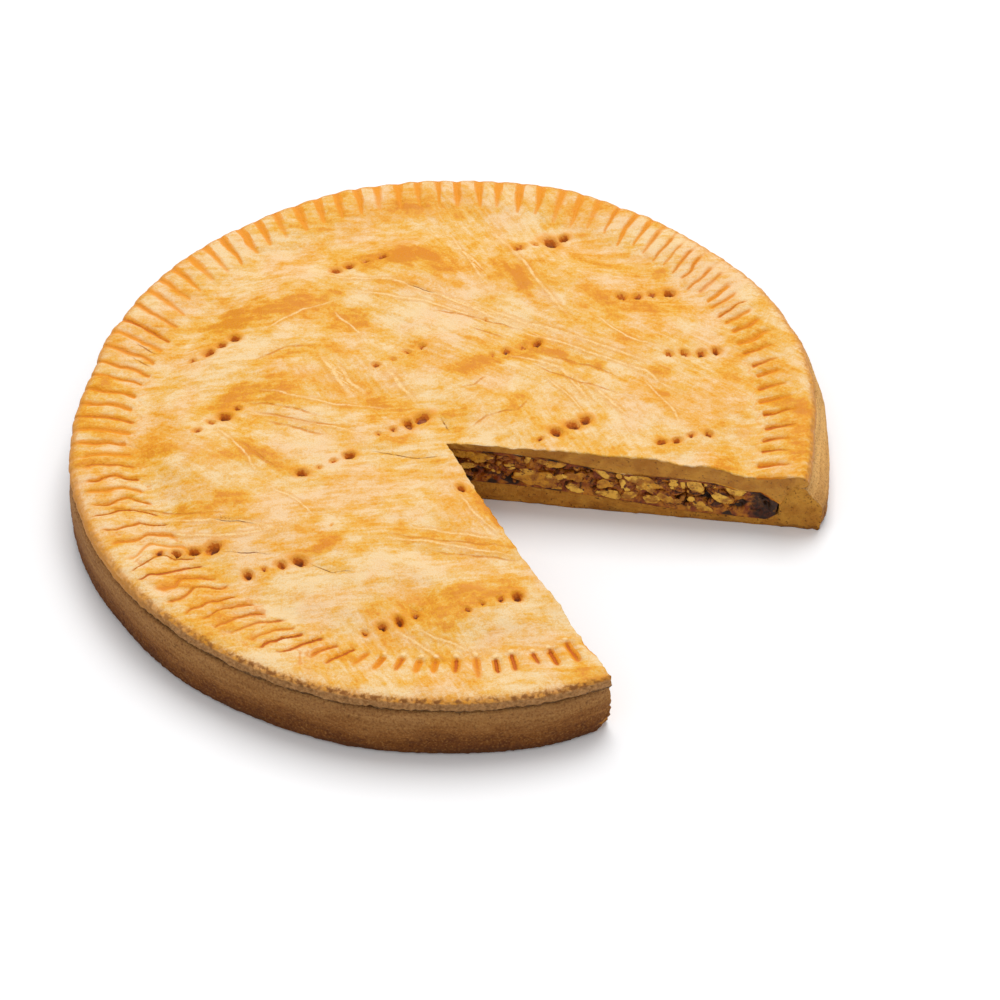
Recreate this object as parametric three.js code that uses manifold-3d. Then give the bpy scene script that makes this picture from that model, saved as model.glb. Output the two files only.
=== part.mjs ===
// A round walnut tart, 240 mm across, with one wedge cut out of it: a shortcrust shell, a set filling of
// walnut pieces, and a lid of the same dough pressed down round the rim with a fork and pricked in rows.
// Millimetres, +Z up, the origin on the table under the middle of the tart, and +Y away from the cut side.
import * as THREE from "three";
import { mergeVertices } from "three/addons/utils/BufferGeometryUtils.js";
import Module from "manifold-3d";

// ---------------------------------------------------------------- driving dimensions
const TART_R = 120; // the shell's widest radius
const LID_R = 118.2; // the lid's radius, where nothing pulls it in
const GAP = 0.3; // air between two doughs, or between dough and filling
const HEIGHT_MAX = 40; // above everything, for cutting tools

// The cut: its point lies off the middle, and its two straight sides run out at these angles.
const CUT_POINT = [-0.9, -10.4];
const CUT_ANGLES = [-7.4, -65]; // degrees from +X
const CUT_REACH = 200;
// The second side isn't quite straight: [distance from the point, how far it swings into the gap].
const CUT_BOW = [[0, 0], [57, 0], [76, 2.3], [CUT_REACH, 7.4]];

// Profiles are [radius, height] from the middle outwards.
const LID_TOP = [
  [0, 22.6], [30, 23.1], [60, 23.4], [76, 22.8], [86, 21.6], [93, 20.3],
  [99, 20.3], [106, 21.2], [112, 21.9], [115.6, 21.6], [117.4, 21.1], [LID_R, 20],
];
const LID_UNDER = [
  [0, 20.8], [25, 20.7], [57, 16.4], [85, 16], [92, 14], [99, 13.6],
  [103.7, 9.9], [108.3, 17.55], [117.4, 17.55],
];
const SHELL_OUT = [
  [112, 0], [118.9, 0], [119.6, 1], [119.8, 6], [TART_R, 11], [119.6, 15], [118.7, 17.2],
];
const SHELL_IN = [
  [0, 8], [30, 7.4], [62, 4.6], [76, 3], [101.5, 2.6], [104.6, 5.5],
  [104.8, 9.6], [108.8, 17.2],
];
// The filling lies under the lid's first seven points and on the shell's first six, clear of both by GAP.
const FILLING_TOP = LID_UNDER.slice(0, 7).map(([r, z]) => [r, z - GAP]);
const FILLING_UNDER = SHELL_IN.slice(0, 6).map(([r, z]) => [Math.max(0, r - GAP), z + GAP]);

// How finely the doughs and the filling are divided: sides of a ring, and the size of the lid's cells.
const RIM_FROM = 90; // rings wider than this have more sides
const RIM_SIDES = 60;
const MIDDLE_SIDES = 28;
const WALL_SIDES = 84;
const LID_CELL = 8;

// How far the shell's wall draws in beside the two sides of the cut and on the left: [degrees, millimetres].
const WALL_IN = [
  [-20, 0.8], [-10, 0.5], [-4, 0.8], [4, 0.4], [12, -0.9], [22, -1], [34, 0], [152, 0], [166, 2],
  [180, 1.6], [194, 0], [286, 0], [291, 0.8], [296, 2.2], [320, 2.2],
];
const LEAN_FROM = 8; // above this the wall leans in to meet the lid's edge
const LEAN_RISE = 9;
const WALL_FOLLOWS = 0.6; // how much of it the wall goes along, where the lid's edge runs further out

// The lid's outer edge: [degrees, radius]. It stops short of the shell beside the first side of the cut, and
// the hand that rolled and trimmed it left it fuller at the back than on the left.
const LID_EDGE = [
  [-20, 113.4], [-2, 113.6], [6, 115.2], [12, 117], [20, 118.6], [34, 119.8], [46, 119.3], [60, 120],
  [73, 121.2], [90, 119.6], [108, 120.1], [124, 118.6], [138, 118.6], [156, 117.6], [169, 115.9],
  [180, 117.5], [190, 118.6], [240, 117.9], [300, 118],
];

// The filling lifts the lid here and there, and leaves it hollow elsewhere: [x, y, radius, height].
const MOUNDS = [
  [-76, -18, 15, 1.9], [12, -87, 14, 1.7], [33, -15, 16, 0.8], [60, -18, 7, 0.8], [12, 14, 16, 1.1],
  [72, -20, 5, -1.1], [81, -22, 6, 1.2],
  [-48, 18, 13, 0.9], [-58, 64, 17, 0.8], [-14, 86, 13, 1], [40, 68, 17, 0.9], [72, 48, 14, 0.7],
  [-32, -60, 15, 0.9], [-9, -76, 7, -1.3], [-62, -84, 12, 0.6], [22, 40, 12, -0.5], [-20, 44, 16, -0.6],
];
const LIFT_ENDS = 104; // mounds and waves die out towards this radius, over LIFT_FADE
const LIFT_FADE = 14;
// Slow waves over the whole lid: [crests per millimetre, direction in degrees, phase, height].
const WAVES = [
  [0.021, 20, 0.4, 0.22], [0.027, 95, 2.1, 0.2], [0.034, 150, 4, 0.16], [0.041, 60, 5.2, 0.12],
];

// The fork's marks round the rim, by degrees: the pitch between them, the radii where a mark starts and ends,
// the lean of its inner and outer part in degrees, how much of it runs on over the edge, and its depth.
const MARKS = [
  { at: -14, pitch: 6, from: 97.5, to: 107, inner: 6, outer: 0, open: 0, deep: 1.5 },
  { at: 16, pitch: 6, from: 98.5, to: 109, inner: 4, outer: 0, open: 0, deep: 1.5 },
  { at: 30, pitch: 4.8, from: 100.5, to: 113, inner: 8, outer: 4, open: 0.2, deep: 1 },
  { at: 47, pitch: 4.8, from: 102, to: 115, inner: 6, outer: 6, open: 0.5, deep: 1 },
  { at: 60, pitch: 6.4, from: 102, to: 116, inner: 0, outer: 0, open: 0.8, deep: 0.8 },
  { at: 95, pitch: 6.4, from: 104, to: 116, inner: 0, outer: 0, open: 1, deep: 0.8 },
  { at: 150, pitch: 6.2, from: 102, to: 116, inner: 3, outer: 3, open: 1, deep: 0.8 },
  { at: 170, pitch: 5.8, from: 98, to: 115, inner: -10, outer: 0, open: 0.9, deep: 1.1 },
  { at: 190, pitch: 5.4, from: 97, to: 114, inner: -14, outer: -4, open: 0.3, deep: 1.3 },
  { at: 206, pitch: 6, from: 95, to: 113, inner: -34, outer: 2, open: 0.3, deep: 1.1 },
  { at: 224, pitch: 6, from: 97, to: 112, inner: -30, outer: -6, open: 0, deep: 0.9 },
  { at: 240, pitch: 5.8, from: 97, to: 109, inner: -40, outer: -34, open: 0, deep: 1.1 },
  { at: 254, pitch: 5.8, from: 98.5, to: 107, inner: -30, outer: -26, open: 0, deep: 1.4 },
  { at: 266, pitch: 5.8, from: 99.5, to: 106, inner: -6, outer: -6, open: 0, deep: 1.3 },
  { at: 300, pitch: 5.8, from: 100, to: 107.5, inner: 0, outer: 0, open: 0, deep: 1.7 },
];
const MARK_BEND_R = 103; // the radius where a mark's inner part meets its outer part
const MARK_HALF_WIDTH = 1.3;
const MARK_SPARE = 1.5; // degrees: a last mark closer than this to the first is left out
const EDGE_FROM = 106.6; // the radius where the lid starts to follow its uneven edge

// Rows of four fork pricks: the first prick's place, the row's direction in degrees, and the prick diameters.
const PRICK_PITCH = 5.4;
const PRICK_DEPTH = 3;
const PRICK_FLARE = 0.35; // a prick's mouth is wider than its hole by this much all round
const PRICK_ROWS = [
  { at: [22, 84.5], turn: 21, wide: [3.4, 2.4, 4.6, 3] },
  { at: [55, 58.8], turn: 17, wide: [3, 2.4, 2.6, 4] },
  { at: [69, 31], turn: 14, wide: [2.4, 2.8, 2.6, 2.8] },
  { at: [13, 30], turn: 22, wide: [1.6, 2.4, 1.8, 2.8] },
  { at: [-23, 26.3], turn: 30, wide: [2, 1.8, 1.8, 2.4] },
  { at: [-81.5, 29.5], turn: 36, wide: [1.8, 3.4, 3, 3.4] },
  { at: [-38, 72.5], turn: 22, wide: [2.8, 2.8, 2.4, 2.6] },
  { at: [-78, -5], turn: 42, wide: [1.8, 1.8, 4, 2.2] },
  { at: [-22, -6.8], turn: 32, wide: [1.6, 1.8, 3.2, 4.6] },
  { at: [-45, -24], turn: 30, wide: [3.4, 1.4, 1.6, 3.4] },
  { at: [28.5, -8.6], turn: 31, wide: [2, 3.2, 4, 3.8] },
  { at: [65, -10], turn: 16, wide: [2.4, 2.2, 2.2, 2.8] },
  { at: [-86.7, -56.8], turn: 10, wide: [2.4, 2.8, 3.2, 4.2] },
  { at: [-60, -65.6], turn: 17, wide: [2.8, 1.8, 2.6, 3.6] },
  { at: [-24, -89], turn: 22, wide: [1.8, 3, 3.4, 2.4] },
  { at: [6, -82], turn: 23, wide: [2, 2, 2.2, 3.4] },
];

// Walnut pieces that the knife laid open on both sides of the cut.
const NUT_STEP = 9.6; // along the cut
const NUT_ROWS = [0.27, 0.76]; // how high their middles lie, from the filling's underside to its top
const NUT_SIZE = [4.6, 3.2, 3.4]; // half length, half width, half height
const NUT_REACH = 98; // how far out from the point they run
const NUT_LOBES = 0.16; // how much their lobes and wrinkles swell them
const NUT_WRINKLE = 0.1;
const NUT_DEPTH = 1.8; // how far behind the knife's plane a middle may lie
const NUT_WANDER = 1.6; // how much their heights vary
const FILLING_SET_BACK = 2; // the caramel between them lies this far behind the cut

// A lump broken out of the shell's foot where the second side of the cut leaves it.
const CHIP = { at: [47.5, -111, 1], r: 8.5 };

// ---------------------------------------------------------------- small tools
const rad = THREE.MathUtils.degToRad;
const smooth = (t) => t * t * (3 - 2 * t);

// The value at x of a list of [x, value]: straight from one to the next, or eased.
function between(keys, x, ease = (t) => t) {
  if (x <= keys[0][0]) return keys[0][1];
  for (let i = 1; i < keys.length; i++) {
    const [x0, v0] = keys[i - 1];
    const [x1, v1] = keys[i];
    if (x <= x1) return v0 + (v1 - v0) * ease((x - x0) / (x1 - x0));
  }
  return keys[keys.length - 1][1];
}

// An angle from 0 to 360 degrees, counted from -20 on as the lists count it.
const fromCut = (degrees) => (degrees > 320 ? degrees - 360 : degrees);

// The fork's settings at an angle.
function markAt(degrees) {
  const read = (name) => between(MARKS.map((m) => [m.at, m[name]]), fromCut(degrees), smooth);
  return Object.fromEntries(Object.keys(MARKS[0]).map((name) => [name, read(name)]));
}

// Repeatable numbers from 0 to 1.
function seeded(seed) {
  let state = seed;
  return () => {
    state = (state * 16807) % 2147483647;
    return state / 2147483647;
  };
}

const manifold = await Module();
manifold.setup();

// A closed geometry as a solid that can be joined and cut.
function solid(geometry) {
  const bare = geometry.index ? geometry.toNonIndexed() : geometry.clone();
  bare.deleteAttribute("normal");
  bare.deleteAttribute("uv");
  const merged = mergeVertices(bare, 1e-4);
  return new manifold.Manifold(
    new manifold.Mesh({
      numProp: 3,
      vertProperties: new Float32Array(merged.attributes.position.array),
      triVerts: new Uint32Array(merged.index.array),
    }),
  );
}

// The biggest body of a solid as a geometry: crumbs that a cut leaves loose are dropped.
function geometryOf(made) {
  const bodies = made.decompose().sort((a, b) => b.volume() - a.volume());
  const mesh = bodies[0].getMesh();
  const geometry = new THREE.BufferGeometry();
  geometry.setAttribute("position", new THREE.BufferAttribute(mesh.vertProperties, 3));
  geometry.setIndex(new THREE.BufferAttribute(mesh.triVerts, 1));
  geometry.computeVertexNormals();
  return geometry;
}

// Rings of points, each { turn, p } in order of turn, joined into one closed skin. A ring of one point is a
// pole. The rings run from the pole on top, over the edge, to the pole underneath.
function skin(rings) {
  const positions = [];
  const starts = rings.map((ring) => {
    const start = positions.length / 3;
    ring.forEach(({ p }) => positions.push(...p));
    return start;
  });
  const faces = [];
  for (let k = 1; k < rings.length; k++) {
    const [a, b] = [rings[k - 1], rings[k]];
    const at = (ring, start, i) => start + (i % ring.length);
    const turn = (ring, i) => ring[i % ring.length].turn + (i >= ring.length ? 360 : 0);
    let [i, j] = [0, 0];
    const steps = (a.length > 1 ? a.length : 0) + (b.length > 1 ? b.length : 0);
    for (let s = 0; s < steps; s++) {
      const nextA = i < a.length && a.length > 1 ? turn(a, i + 1) : Infinity;
      const nextB = j < b.length && b.length > 1 ? turn(b, j + 1) : Infinity;
      if (nextA < nextB) {
        faces.push(at(a, starts[k - 1], i), at(b, starts[k], j), at(a, starts[k - 1], i + 1));
        i++;
      } else {
        faces.push(at(a, starts[k - 1], i), at(b, starts[k], j), at(b, starts[k], j + 1));
        j++;
      }
    }
  }
  const geometry = new THREE.BufferGeometry();
  geometry.setAttribute("position", new THREE.Float32BufferAttribute(positions, 3));
  geometry.setIndex(faces);
  return geometry;
}

// A ring of equal steps. The point at each angle is worked out by place(degrees).
const evenRing = (count, place) =>
  Array.from({ length: count }, (_, i) => ({ turn: (360 * i) / count, p: place((360 * i) / count) }));
const round = (r, degrees, z) => [r * Math.cos(rad(degrees)), r * Math.sin(rad(degrees)), z];
const pole = (z) => [{ turn: 0, p: [0, 0, z] }];
const sides = (r) => (r > RIM_FROM ? RIM_SIDES : MIDDLE_SIDES);
const plainRings = (profile) => profile.map(([r, z]) => evenRing(sides(r), (a) => round(r, a, z)));

// A point so far out from another one in a direction, and so far to the left of that line.
const beside = ([x, y], angle, out, left) => [
  x + out * Math.cos(angle) - left * Math.sin(angle),
  y + out * Math.sin(angle) + left * Math.cos(angle),
];

// The prism that the knife takes out, with its sides moved into it by inset, or back from it if negative.
function cutPrism(inset) {
  const [first, last] = CUT_ANGLES.map(rad);
  const tip = beside(CUT_POINT, (first + last) / 2, inset / Math.sin((first - last) / 2), 0);
  const secondSide = CUT_BOW.map(([out, left]) => beside(tip, last, out, left));
  const outline = [...secondSide, beside(tip, first, CUT_REACH, 0)];
  const shape = new THREE.Shape(outline.map(([x, y]) => new THREE.Vector2(x, y)));
  const prism = new THREE.ExtrudeGeometry(shape, { depth: 2 * HEIGHT_MAX, bevelEnabled: false });
  return solid(prism.translate(0, 0, -HEIGHT_MAX));
}
const cut = cutPrism(0);

// ---------------------------------------------------------------- the lid
// How far mounds, hollows and slow waves lift the lid at a point. They die out towards the rim.
function lift(x, y) {
  const lumps = MOUNDS.reduce((sum, [mx, my, r, h]) => {
    const away = Math.hypot(x - mx, y - my) / r;
    return sum + h * Math.exp(-away * away);
  }, 0);
  const waves = WAVES.reduce((sum, [crests, turn, phase, h]) => {
    const along = x * Math.cos(rad(turn)) + y * Math.sin(rad(turn));
    return sum + h * Math.sin(2 * Math.PI * crests * along + phase);
  }, 0);
  const hold = smooth(THREE.MathUtils.clamp((LIFT_ENDS - Math.hypot(x, y)) / LIFT_FADE, 0, 1));
  return (lumps + waves) * hold;
}

// How far the lid's edge runs outside of its usual radius, or inside of it if negative.
const edgeShift = (degrees) => between(LID_EDGE, fromCut(degrees), smooth) - LID_R;

// The lid's edge moves its outer rings in or out.
function lidRadius(r, degrees) {
  return r + edgeShift(degrees) * smooth(THREE.MathUtils.clamp((r - EDGE_FROM) / (LID_R - EDGE_FROM), 0, 1));
}

function lidPoint(r, degrees, sink) {
  const at = lidRadius(r, degrees);
  const [x, y] = round(at, degrees, 0);
  return [x, y, between(LID_TOP, r) + lift(x, y) - sink];
}

// The angles of the fork's marks, each a pitch on from the last.
function markAngles() {
  const angles = [];
  for (let a = 0; a < 360; a += THREE.MathUtils.radToDeg(markAt(a).pitch / MARK_BEND_R)) angles.push(a);
  const spare = 360 - angles[angles.length - 1];
  return spare < MARK_SPARE ? angles.slice(0, -1) : angles;
}

// One ring across all marks: three points a mark, at its two shoulders and along its bottom.
function markRing(angles, radiusOf, shareOf) {
  const ring = [];
  for (const a of angles) {
    const mark = markAt(a);
    const r = radiusOf(mark);
    const lean = r < MARK_BEND_R ? mark.inner : mark.outer;
    const slide = THREE.MathUtils.radToDeg((Math.tan(rad(lean)) * (r - MARK_BEND_R)) / r);
    const half = THREE.MathUtils.radToDeg(MARK_HALF_WIDTH / r);
    const share = shareOf(mark);
    for (const side of [-1, 0, 1]) {
      const turn = a + slide + side * half;
      ring.push({ turn, p: lidPoint(r, (turn + 360) % 360, side ? 0 : mark.deep * share) });
    }
  }
  return ring;
}

// A prick: a six-sided cone, point down. Its wide end stands 1 mm over the lid, so that it cuts cleanly.
function prick(x, y, wide) {
  const height = PRICK_DEPTH + 1;
  const cone = new THREE.ConeGeometry(wide / 2 + PRICK_FLARE, height, 6).rotateX(-Math.PI / 2);
  const top = between(LID_TOP, Math.hypot(x, y)) + lift(x, y);
  return solid(cone.translate(x, y, top + 1 - height / 2));
}

function lidCrust() {
  const angles = markAngles();
  const inner = [];
  for (let r = LID_CELL; r < RIM_FROM; r += LID_CELL) {
    inner.push(evenRing(Math.round((2 * Math.PI * r) / LID_CELL), (a) => lidPoint(r, a, 0)));
  }
  const marked = [
    markRing(angles, (m) => m.from - 1.6, () => 0),
    markRing(angles, (m) => m.from + 0.6, () => 1),
    markRing(angles, (m) => (m.from + m.to) / 2, () => 0.85),
    markRing(angles, (m) => m.to, (m) => 0.7 * m.open),
    markRing(angles, () => 117.4, (m) => 0.5 * m.open),
    markRing(angles, () => LID_R, (m) => 0.3 * m.open),
  ];
  const under = LID_UNDER.slice(1).reverse();
  const underRings = under.map(([r, z]) => evenRing(sides(r), (a) => round(lidRadius(r, a), a, z)));
  const top = pole(LID_TOP[0][1] + lift(0, 0));
  const whole = solid(skin([top, ...inner, ...marked, ...underRings, pole(LID_UNDER[0][1])]));
  const pricks = PRICK_ROWS.flatMap(({ at, turn, wide }) =>
    wide.map((w, i) => {
      const along = i * PRICK_PITCH;
      return prick(at[0] + along * Math.cos(rad(turn)), at[1] + along * Math.sin(rad(turn)), w);
    }),
  );
  return geometryOf(pricks.reduce((made, hole) => made.subtract(hole), whole.subtract(cut)));
}

// ---------------------------------------------------------------- the shell
// A hand-lined tin leaves the wall a little uneven. Beside the cut it draws in, it leans in where the lid's
// edge is set back, and it goes part of the way with it where the edge runs further out.
function wallRadius(r, degrees, z) {
  const wander = 0.25 * Math.sin(rad(5 * degrees + 40)) + 0.2 * Math.sin(rad(13 * degrees)) - 0.3;
  const shift = edgeShift(degrees);
  const lean = smooth(THREE.MathUtils.clamp((z - LEAN_FROM) / LEAN_RISE, 0, 1));
  return r + wander - between(WALL_IN, fromCut(degrees), smooth) + shift * (shift < 0 ? lean : WALL_FOLLOWS);
}

function shellCrust() {
  const outside = SHELL_OUT.map(([r, z]) => evenRing(WALL_SIDES, (a) => round(wallRadius(r, a, z), a, z)));
  const inside = plainRings(SHELL_IN.slice(1));
  const whole = solid(skin([pole(SHELL_IN[0][1]), ...inside, ...outside.reverse(), pole(0)]));
  const chip = new THREE.IcosahedronGeometry(CHIP.r, 1).rotateZ(0.4).translate(...CHIP.at);
  return geometryOf(whole.subtract(cut).subtract(solid(chip)));
}

// ---------------------------------------------------------------- the filling
// A walnut piece: a lumpy ball, longer than it is wide, turned at random.
function walnutPiece(random, place) {
  const shape = new THREE.IcosahedronGeometry(1, 1);
  const corners = shape.attributes.position;
  const lobes = 2 + Math.floor(2 * random());
  const phase = 6 * random();
  for (let i = 0; i < corners.count; i++) {
    const v = new THREE.Vector3().fromBufferAttribute(corners, i);
    const lobe = NUT_LOBES * Math.sin(lobes * Math.atan2(v.y, v.x) + phase);
    const wrinkle = NUT_WRINKLE * Math.sin(4 * v.z + phase);
    v.multiplyScalar(1 + lobe + wrinkle);
    corners.setXYZ(i, v.x, v.y, v.z);
  }
  const grow = 0.85 + 0.3 * random();
  shape.scale(...NUT_SIZE.map((s) => s * grow));
  shape.rotateY(rad(70 * (random() - 0.5)));
  shape.rotateZ(place.turn + rad(40 * (random() - 0.5)));
  return solid(shape.translate(...place.p));
}

// Walnut pieces in two uneven rows along one side of the cut, their middles on the knife's plane or just behind
// it, and lower where the filling lies lower.
function walnutsAlong(degrees, behind, bow, random) {
  const pieces = [];
  const turn = rad(degrees);
  for (const [row, share] of NUT_ROWS.entries()) {
    for (let along = 8 + 3.5 * row; along < NUT_REACH; along += NUT_STEP * (0.85 + 0.3 * random())) {
      const out = along + 2 * (random() - 0.5);
      const [x, y] = beside(CUT_POINT, turn, out, between(bow, out) + behind * NUT_DEPTH * random());
      const r = Math.hypot(x, y);
      const [low, high] = [between(FILLING_UNDER, r), between(FILLING_TOP, r)];
      const z = low + (high - low) * share + NUT_WANDER * (random() - 0.5);
      pieces.push(walnutPiece(random, { turn, p: [x, y, z] }));
    }
  }
  return pieces;
}

function nutFilling() {
  const top = plainRings(FILLING_TOP.slice(1));
  const under = plainRings(FILLING_UNDER.slice(1)).reverse();
  const layer = solid(skin([pole(FILLING_TOP[0][1]), ...top, ...under, pole(FILLING_UNDER[0][1])]));
  const random = seeded(71);
  const [first, last] = CUT_ANGLES;
  const walnuts = [...walnutsAlong(first, 1, [[0, 0]], random), ...walnutsAlong(last, -1, CUT_BOW, random)];
  const joined = walnuts.reduce((made, nut) => made.add(nut));
  const core = layer.subtract(cutPrism(-FILLING_SET_BACK));
  return geometryOf(core.add(joined.intersect(layer).subtract(cut)));
}

// ---------------------------------------------------------------- the tart
function piece(name, geometry, colour, roughness) {
  const material = new THREE.MeshStandardMaterial({ color: colour, roughness, metalness: 0 });
  const mesh = new THREE.Mesh(geometry, material);
  mesh.name = name;
  return mesh;
}

const tart = new THREE.Group();
tart.add(piece("shell_crust", shellCrust(), 0xc08a4e, 0.8));
tart.add(piece("nut_filling", nutFilling(), 0x8a5a22, 0.45));
tart.add(piece("lid_crust", lidCrust(), 0xeeb467, 0.5));

export default tart;
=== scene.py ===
# %% [markdown]
# # A walnut tart with a slice cut out
# A covered nut tart is three things baked into one: a shell of shortcrust, a set layer of walnut pieces
# in caramel, and a lid of the same dough, brushed with egg, pressed down round the rim with a fork and
# pricked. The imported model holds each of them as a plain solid. Here each solid is replaced by a finer
# one of the same size, worked out as a surface with numpy, and given a baked, brushed or glossy finish.

# %% Load the fixed frame
from functools import partialmethod

import bmesh
import bpy
import numpy as np
from mathutils import Euler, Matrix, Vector


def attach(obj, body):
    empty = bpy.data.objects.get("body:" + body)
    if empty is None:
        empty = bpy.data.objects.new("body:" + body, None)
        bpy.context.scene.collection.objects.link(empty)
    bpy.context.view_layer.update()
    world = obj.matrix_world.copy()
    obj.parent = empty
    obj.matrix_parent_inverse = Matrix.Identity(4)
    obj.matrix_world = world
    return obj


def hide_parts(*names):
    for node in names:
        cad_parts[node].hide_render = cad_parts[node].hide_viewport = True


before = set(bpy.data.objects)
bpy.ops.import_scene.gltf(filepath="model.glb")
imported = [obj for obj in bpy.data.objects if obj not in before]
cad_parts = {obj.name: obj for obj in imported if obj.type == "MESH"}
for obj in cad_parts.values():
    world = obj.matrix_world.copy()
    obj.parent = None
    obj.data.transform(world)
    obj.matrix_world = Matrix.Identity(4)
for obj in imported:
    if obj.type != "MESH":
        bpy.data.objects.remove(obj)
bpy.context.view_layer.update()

# %% [markdown]
# ## Sizes
# All the tart's own numbers are in millimetres, and a mesh is turned into metres as it is made. The
# profiles are lists of [distance from the middle, height], as a baker would draw the section of the tart.
# The cut's point is not the middle of the tart but 10 mm in front of it, as a knife rarely finds the
# exact middle.

# %% Sizes in millimetres
MM = 0.001
MOST_STEPS = 1152  # steps round the rim, in the finest row
CUT_POINT = (-0.9, -10.4)
FIRST_FACE, SECOND_FACE = -7.4, 295.0  # degrees: from one cut face the long way round to the other
INNER_RING = 13.0  # inside this ring the rows close in on the cut's point
TART_R, LID_R = 120.0, 118.2
LID_TOP = [
    [0, 22.6], [30, 23.1], [60, 23.4], [76, 22.8], [86, 21.6], [93, 20.4], [99, 20.4], [106, 21.3],
    [112, 21.9],
]
LID_EDGE_LINE = [
    [112, 21.9], [114.5, 21.8], [116, 21.5], [117.2, 21], [118, 20.2], [118.4, 19.2], [118.4, 18.3],
    [118.1, 17.6], [117.6, 17.4],
]
LID_UNDER = [
    [0, 20.8], [25, 20.7], [57, 16.4], [85, 16], [92, 14], [99, 13.6], [105, 9.5], [109, 17.2], [117.6, 17.2],
]
SOFT_TOP = 23.85  # relief on the highest mounds is pressed flatter from here up
EDGE_FROM = 106.6  # the ring where the lid starts to follow its uneven edge
LID_REACH = [  # how far from the middle its edge stands, by angle
    [-20, 113.4], [-2, 113.6], [6, 115.2], [12, 117], [20, 118.6], [34, 119.8], [46, 119.3], [60, 120],
    [73, 121.2], [90, 119.6], [108, 120.1], [124, 118.6], [138, 118.6], [156, 117.6], [169, 115.9],
    [180, 117.5], [190, 118.6], [240, 117.9], [300, 118],
]
WALL = [  # how far from the middle the wall stands, by height
    [0, 118.8], [0.4, 119.3], [1.2, 119.6], [6, 119.8], [11, 120], [15, 119.6], [16.6, 119.1], [17.2, 118.4],
]
WALL_IN = [  # how much it draws in, by angle
    [-20, 1.8], [-12, 1.3], [-9.5, 0.3], [-4, 0.8], [4, 0.4], [12, -0.9], [22, -1], [34, 0], [152, 0],
    [166, 2], [180, 1.6], [194, 0], [286, 0], [291, 0.8], [296, 2.2], [320, 2.2],
]
LEAN_FROM, LEAN_RISE = 8, 9  # above this height the wall leans in to the lid's edge where that is drawn in
WALL_FOLLOWS = 0.6  # and where the edge stands out, the wall follows it this much
SHELL_FLOOR = [[0, 8], [30, 7.4], [62, 4.6], [76, 3], [101.5, 2.6], [104.6, 5.5], [104.8, 9.6], [108.8, 17.2]]
WALL_HEIGHT = 17.2
# How far the second cut face swings into the gap, by the distance from the cut's point.
CUT_BOW = [[0, 0], [50, 0], [60, 0.5], [70, 1.6], [80, 2.5], [104, 3.45], [130, 4.5]]
BOW_FROM = 0.8  # only the last fifth of the way round swings with it
LEFT_END, RIGHT_END, FRONT_END = 117.2, 118.6, 118.7  # from here out crumbs are pressed flat

# %% [markdown]
# ## Lines and rough surfaces
# Everything below is built from a few small tools, such as straight and smooth lines through a list of
# points, an ease from 0 to 1, and a field of random heights. Random heights on a square lattice, eased
# from one lattice point to the next, are the simplest rough surface. Several layers of it, each half as
# wide and half as high as the last, look like dough. Every layer has its own seed, so the tart comes out
# the same each time.

# %% Line and noise tools
def ease(t):
    """3t^2 - 2t^3 between 0 and 1, and flat outside."""
    t = np.clip(t, 0, 1)
    return t * t * (3 - 2 * t)


def between(keys, x, eased=False):
    """The value at x on straight lines through [x, value] points, or eased from each point to the next."""
    keys = np.array(keys, float)
    if eased:
        part = np.interp(x, keys[:, 0], np.arange(len(keys)))
        x = np.interp(np.floor(part) + ease(part % 1), np.arange(len(keys)), keys[:, 0])
    return np.interp(x, keys[:, 0], keys[:, 1])


def curve(keys, x):
    """The value at x on a smooth line through [x, value] points: a cubic between each two, whose slope at
    a point is the mean of the straight slopes on its two sides."""
    keys = np.array(keys, float)
    at, value = keys[:, 0], keys[:, 1]
    steps = np.diff(value) / np.diff(at)
    slope = np.concatenate([steps[:1], (steps[1:] + steps[:-1]) / 2, steps[-1:]])
    x = np.clip(x, at[0], at[-1])
    i = np.clip(np.searchsorted(at, x, side="right") - 1, 0, len(at) - 2)
    wide = at[i + 1] - at[i]
    t = (x - at[i]) / wide
    start = value[i] * (1 + 2 * t) * (1 - t) ** 2 + slope[i] * wide * t * (1 - t) ** 2
    end = value[i + 1] * t * t * (3 - 2 * t) + slope[i + 1] * wide * t * t * (t - 1)
    return start + end


def rotated(x, y, degrees):
    """How far points lie along a direction and to its left: (x c + y s, y c - x s)."""
    c, s = np.cos(np.radians(degrees)), np.sin(np.radians(degrees))
    return x * c + y * s, y * c - x * s


def moved(x, y, degrees, amount):
    """Points moved by an amount in a direction."""
    return x + amount * np.cos(np.radians(degrees)), y + amount * np.sin(np.radians(degrees))


def way_along(points):
    """How far each point of a chain lies along it."""
    return np.concatenate([[0], np.cumsum(np.hypot(*np.diff(points, axis=0).T))])


def pressed(value, start):
    """What stands further out than the start is pressed flat: the rest grows towards half a millimetre."""
    return np.where(value > start, start + 0.5 * np.tanh((value - start) / 0.5), value)


def rough(x, y, size, seed, layers=1):
    """Random heights from about -1 to 1: lattice values a size apart, eased between, in layers of half
    the size and half the height. Each layer's lattice is turned, so no grid shows."""
    total, share = 0.0, 0.0
    for layer in range(layers):
        table = np.random.default_rng(seed + 101 * layer).uniform(-1, 1, (128, 128))
        turn, step = 0.6 + 1.1 * layer, size / 2**layer
        u = (x * np.cos(turn) - y * np.sin(turn)) / step + 37.3
        v = (x * np.sin(turn) + y * np.cos(turn)) / step + 19.7
        i, j = np.floor(u).astype(int), np.floor(v).astype(int)
        du, dv = ease(u - i), ease(v - j)
        low = table[i % 128, j % 128] * (1 - du) + table[(i + 1) % 128, j % 128] * du
        high = table[i % 128, (j + 1) % 128] * (1 - du) + table[(i + 1) % 128, (j + 1) % 128] * du
        total = total + (low * (1 - dv) + high * dv) / 2**layer
        share += 0.6 / 2**layer
    return total / max(share, 1)


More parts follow.
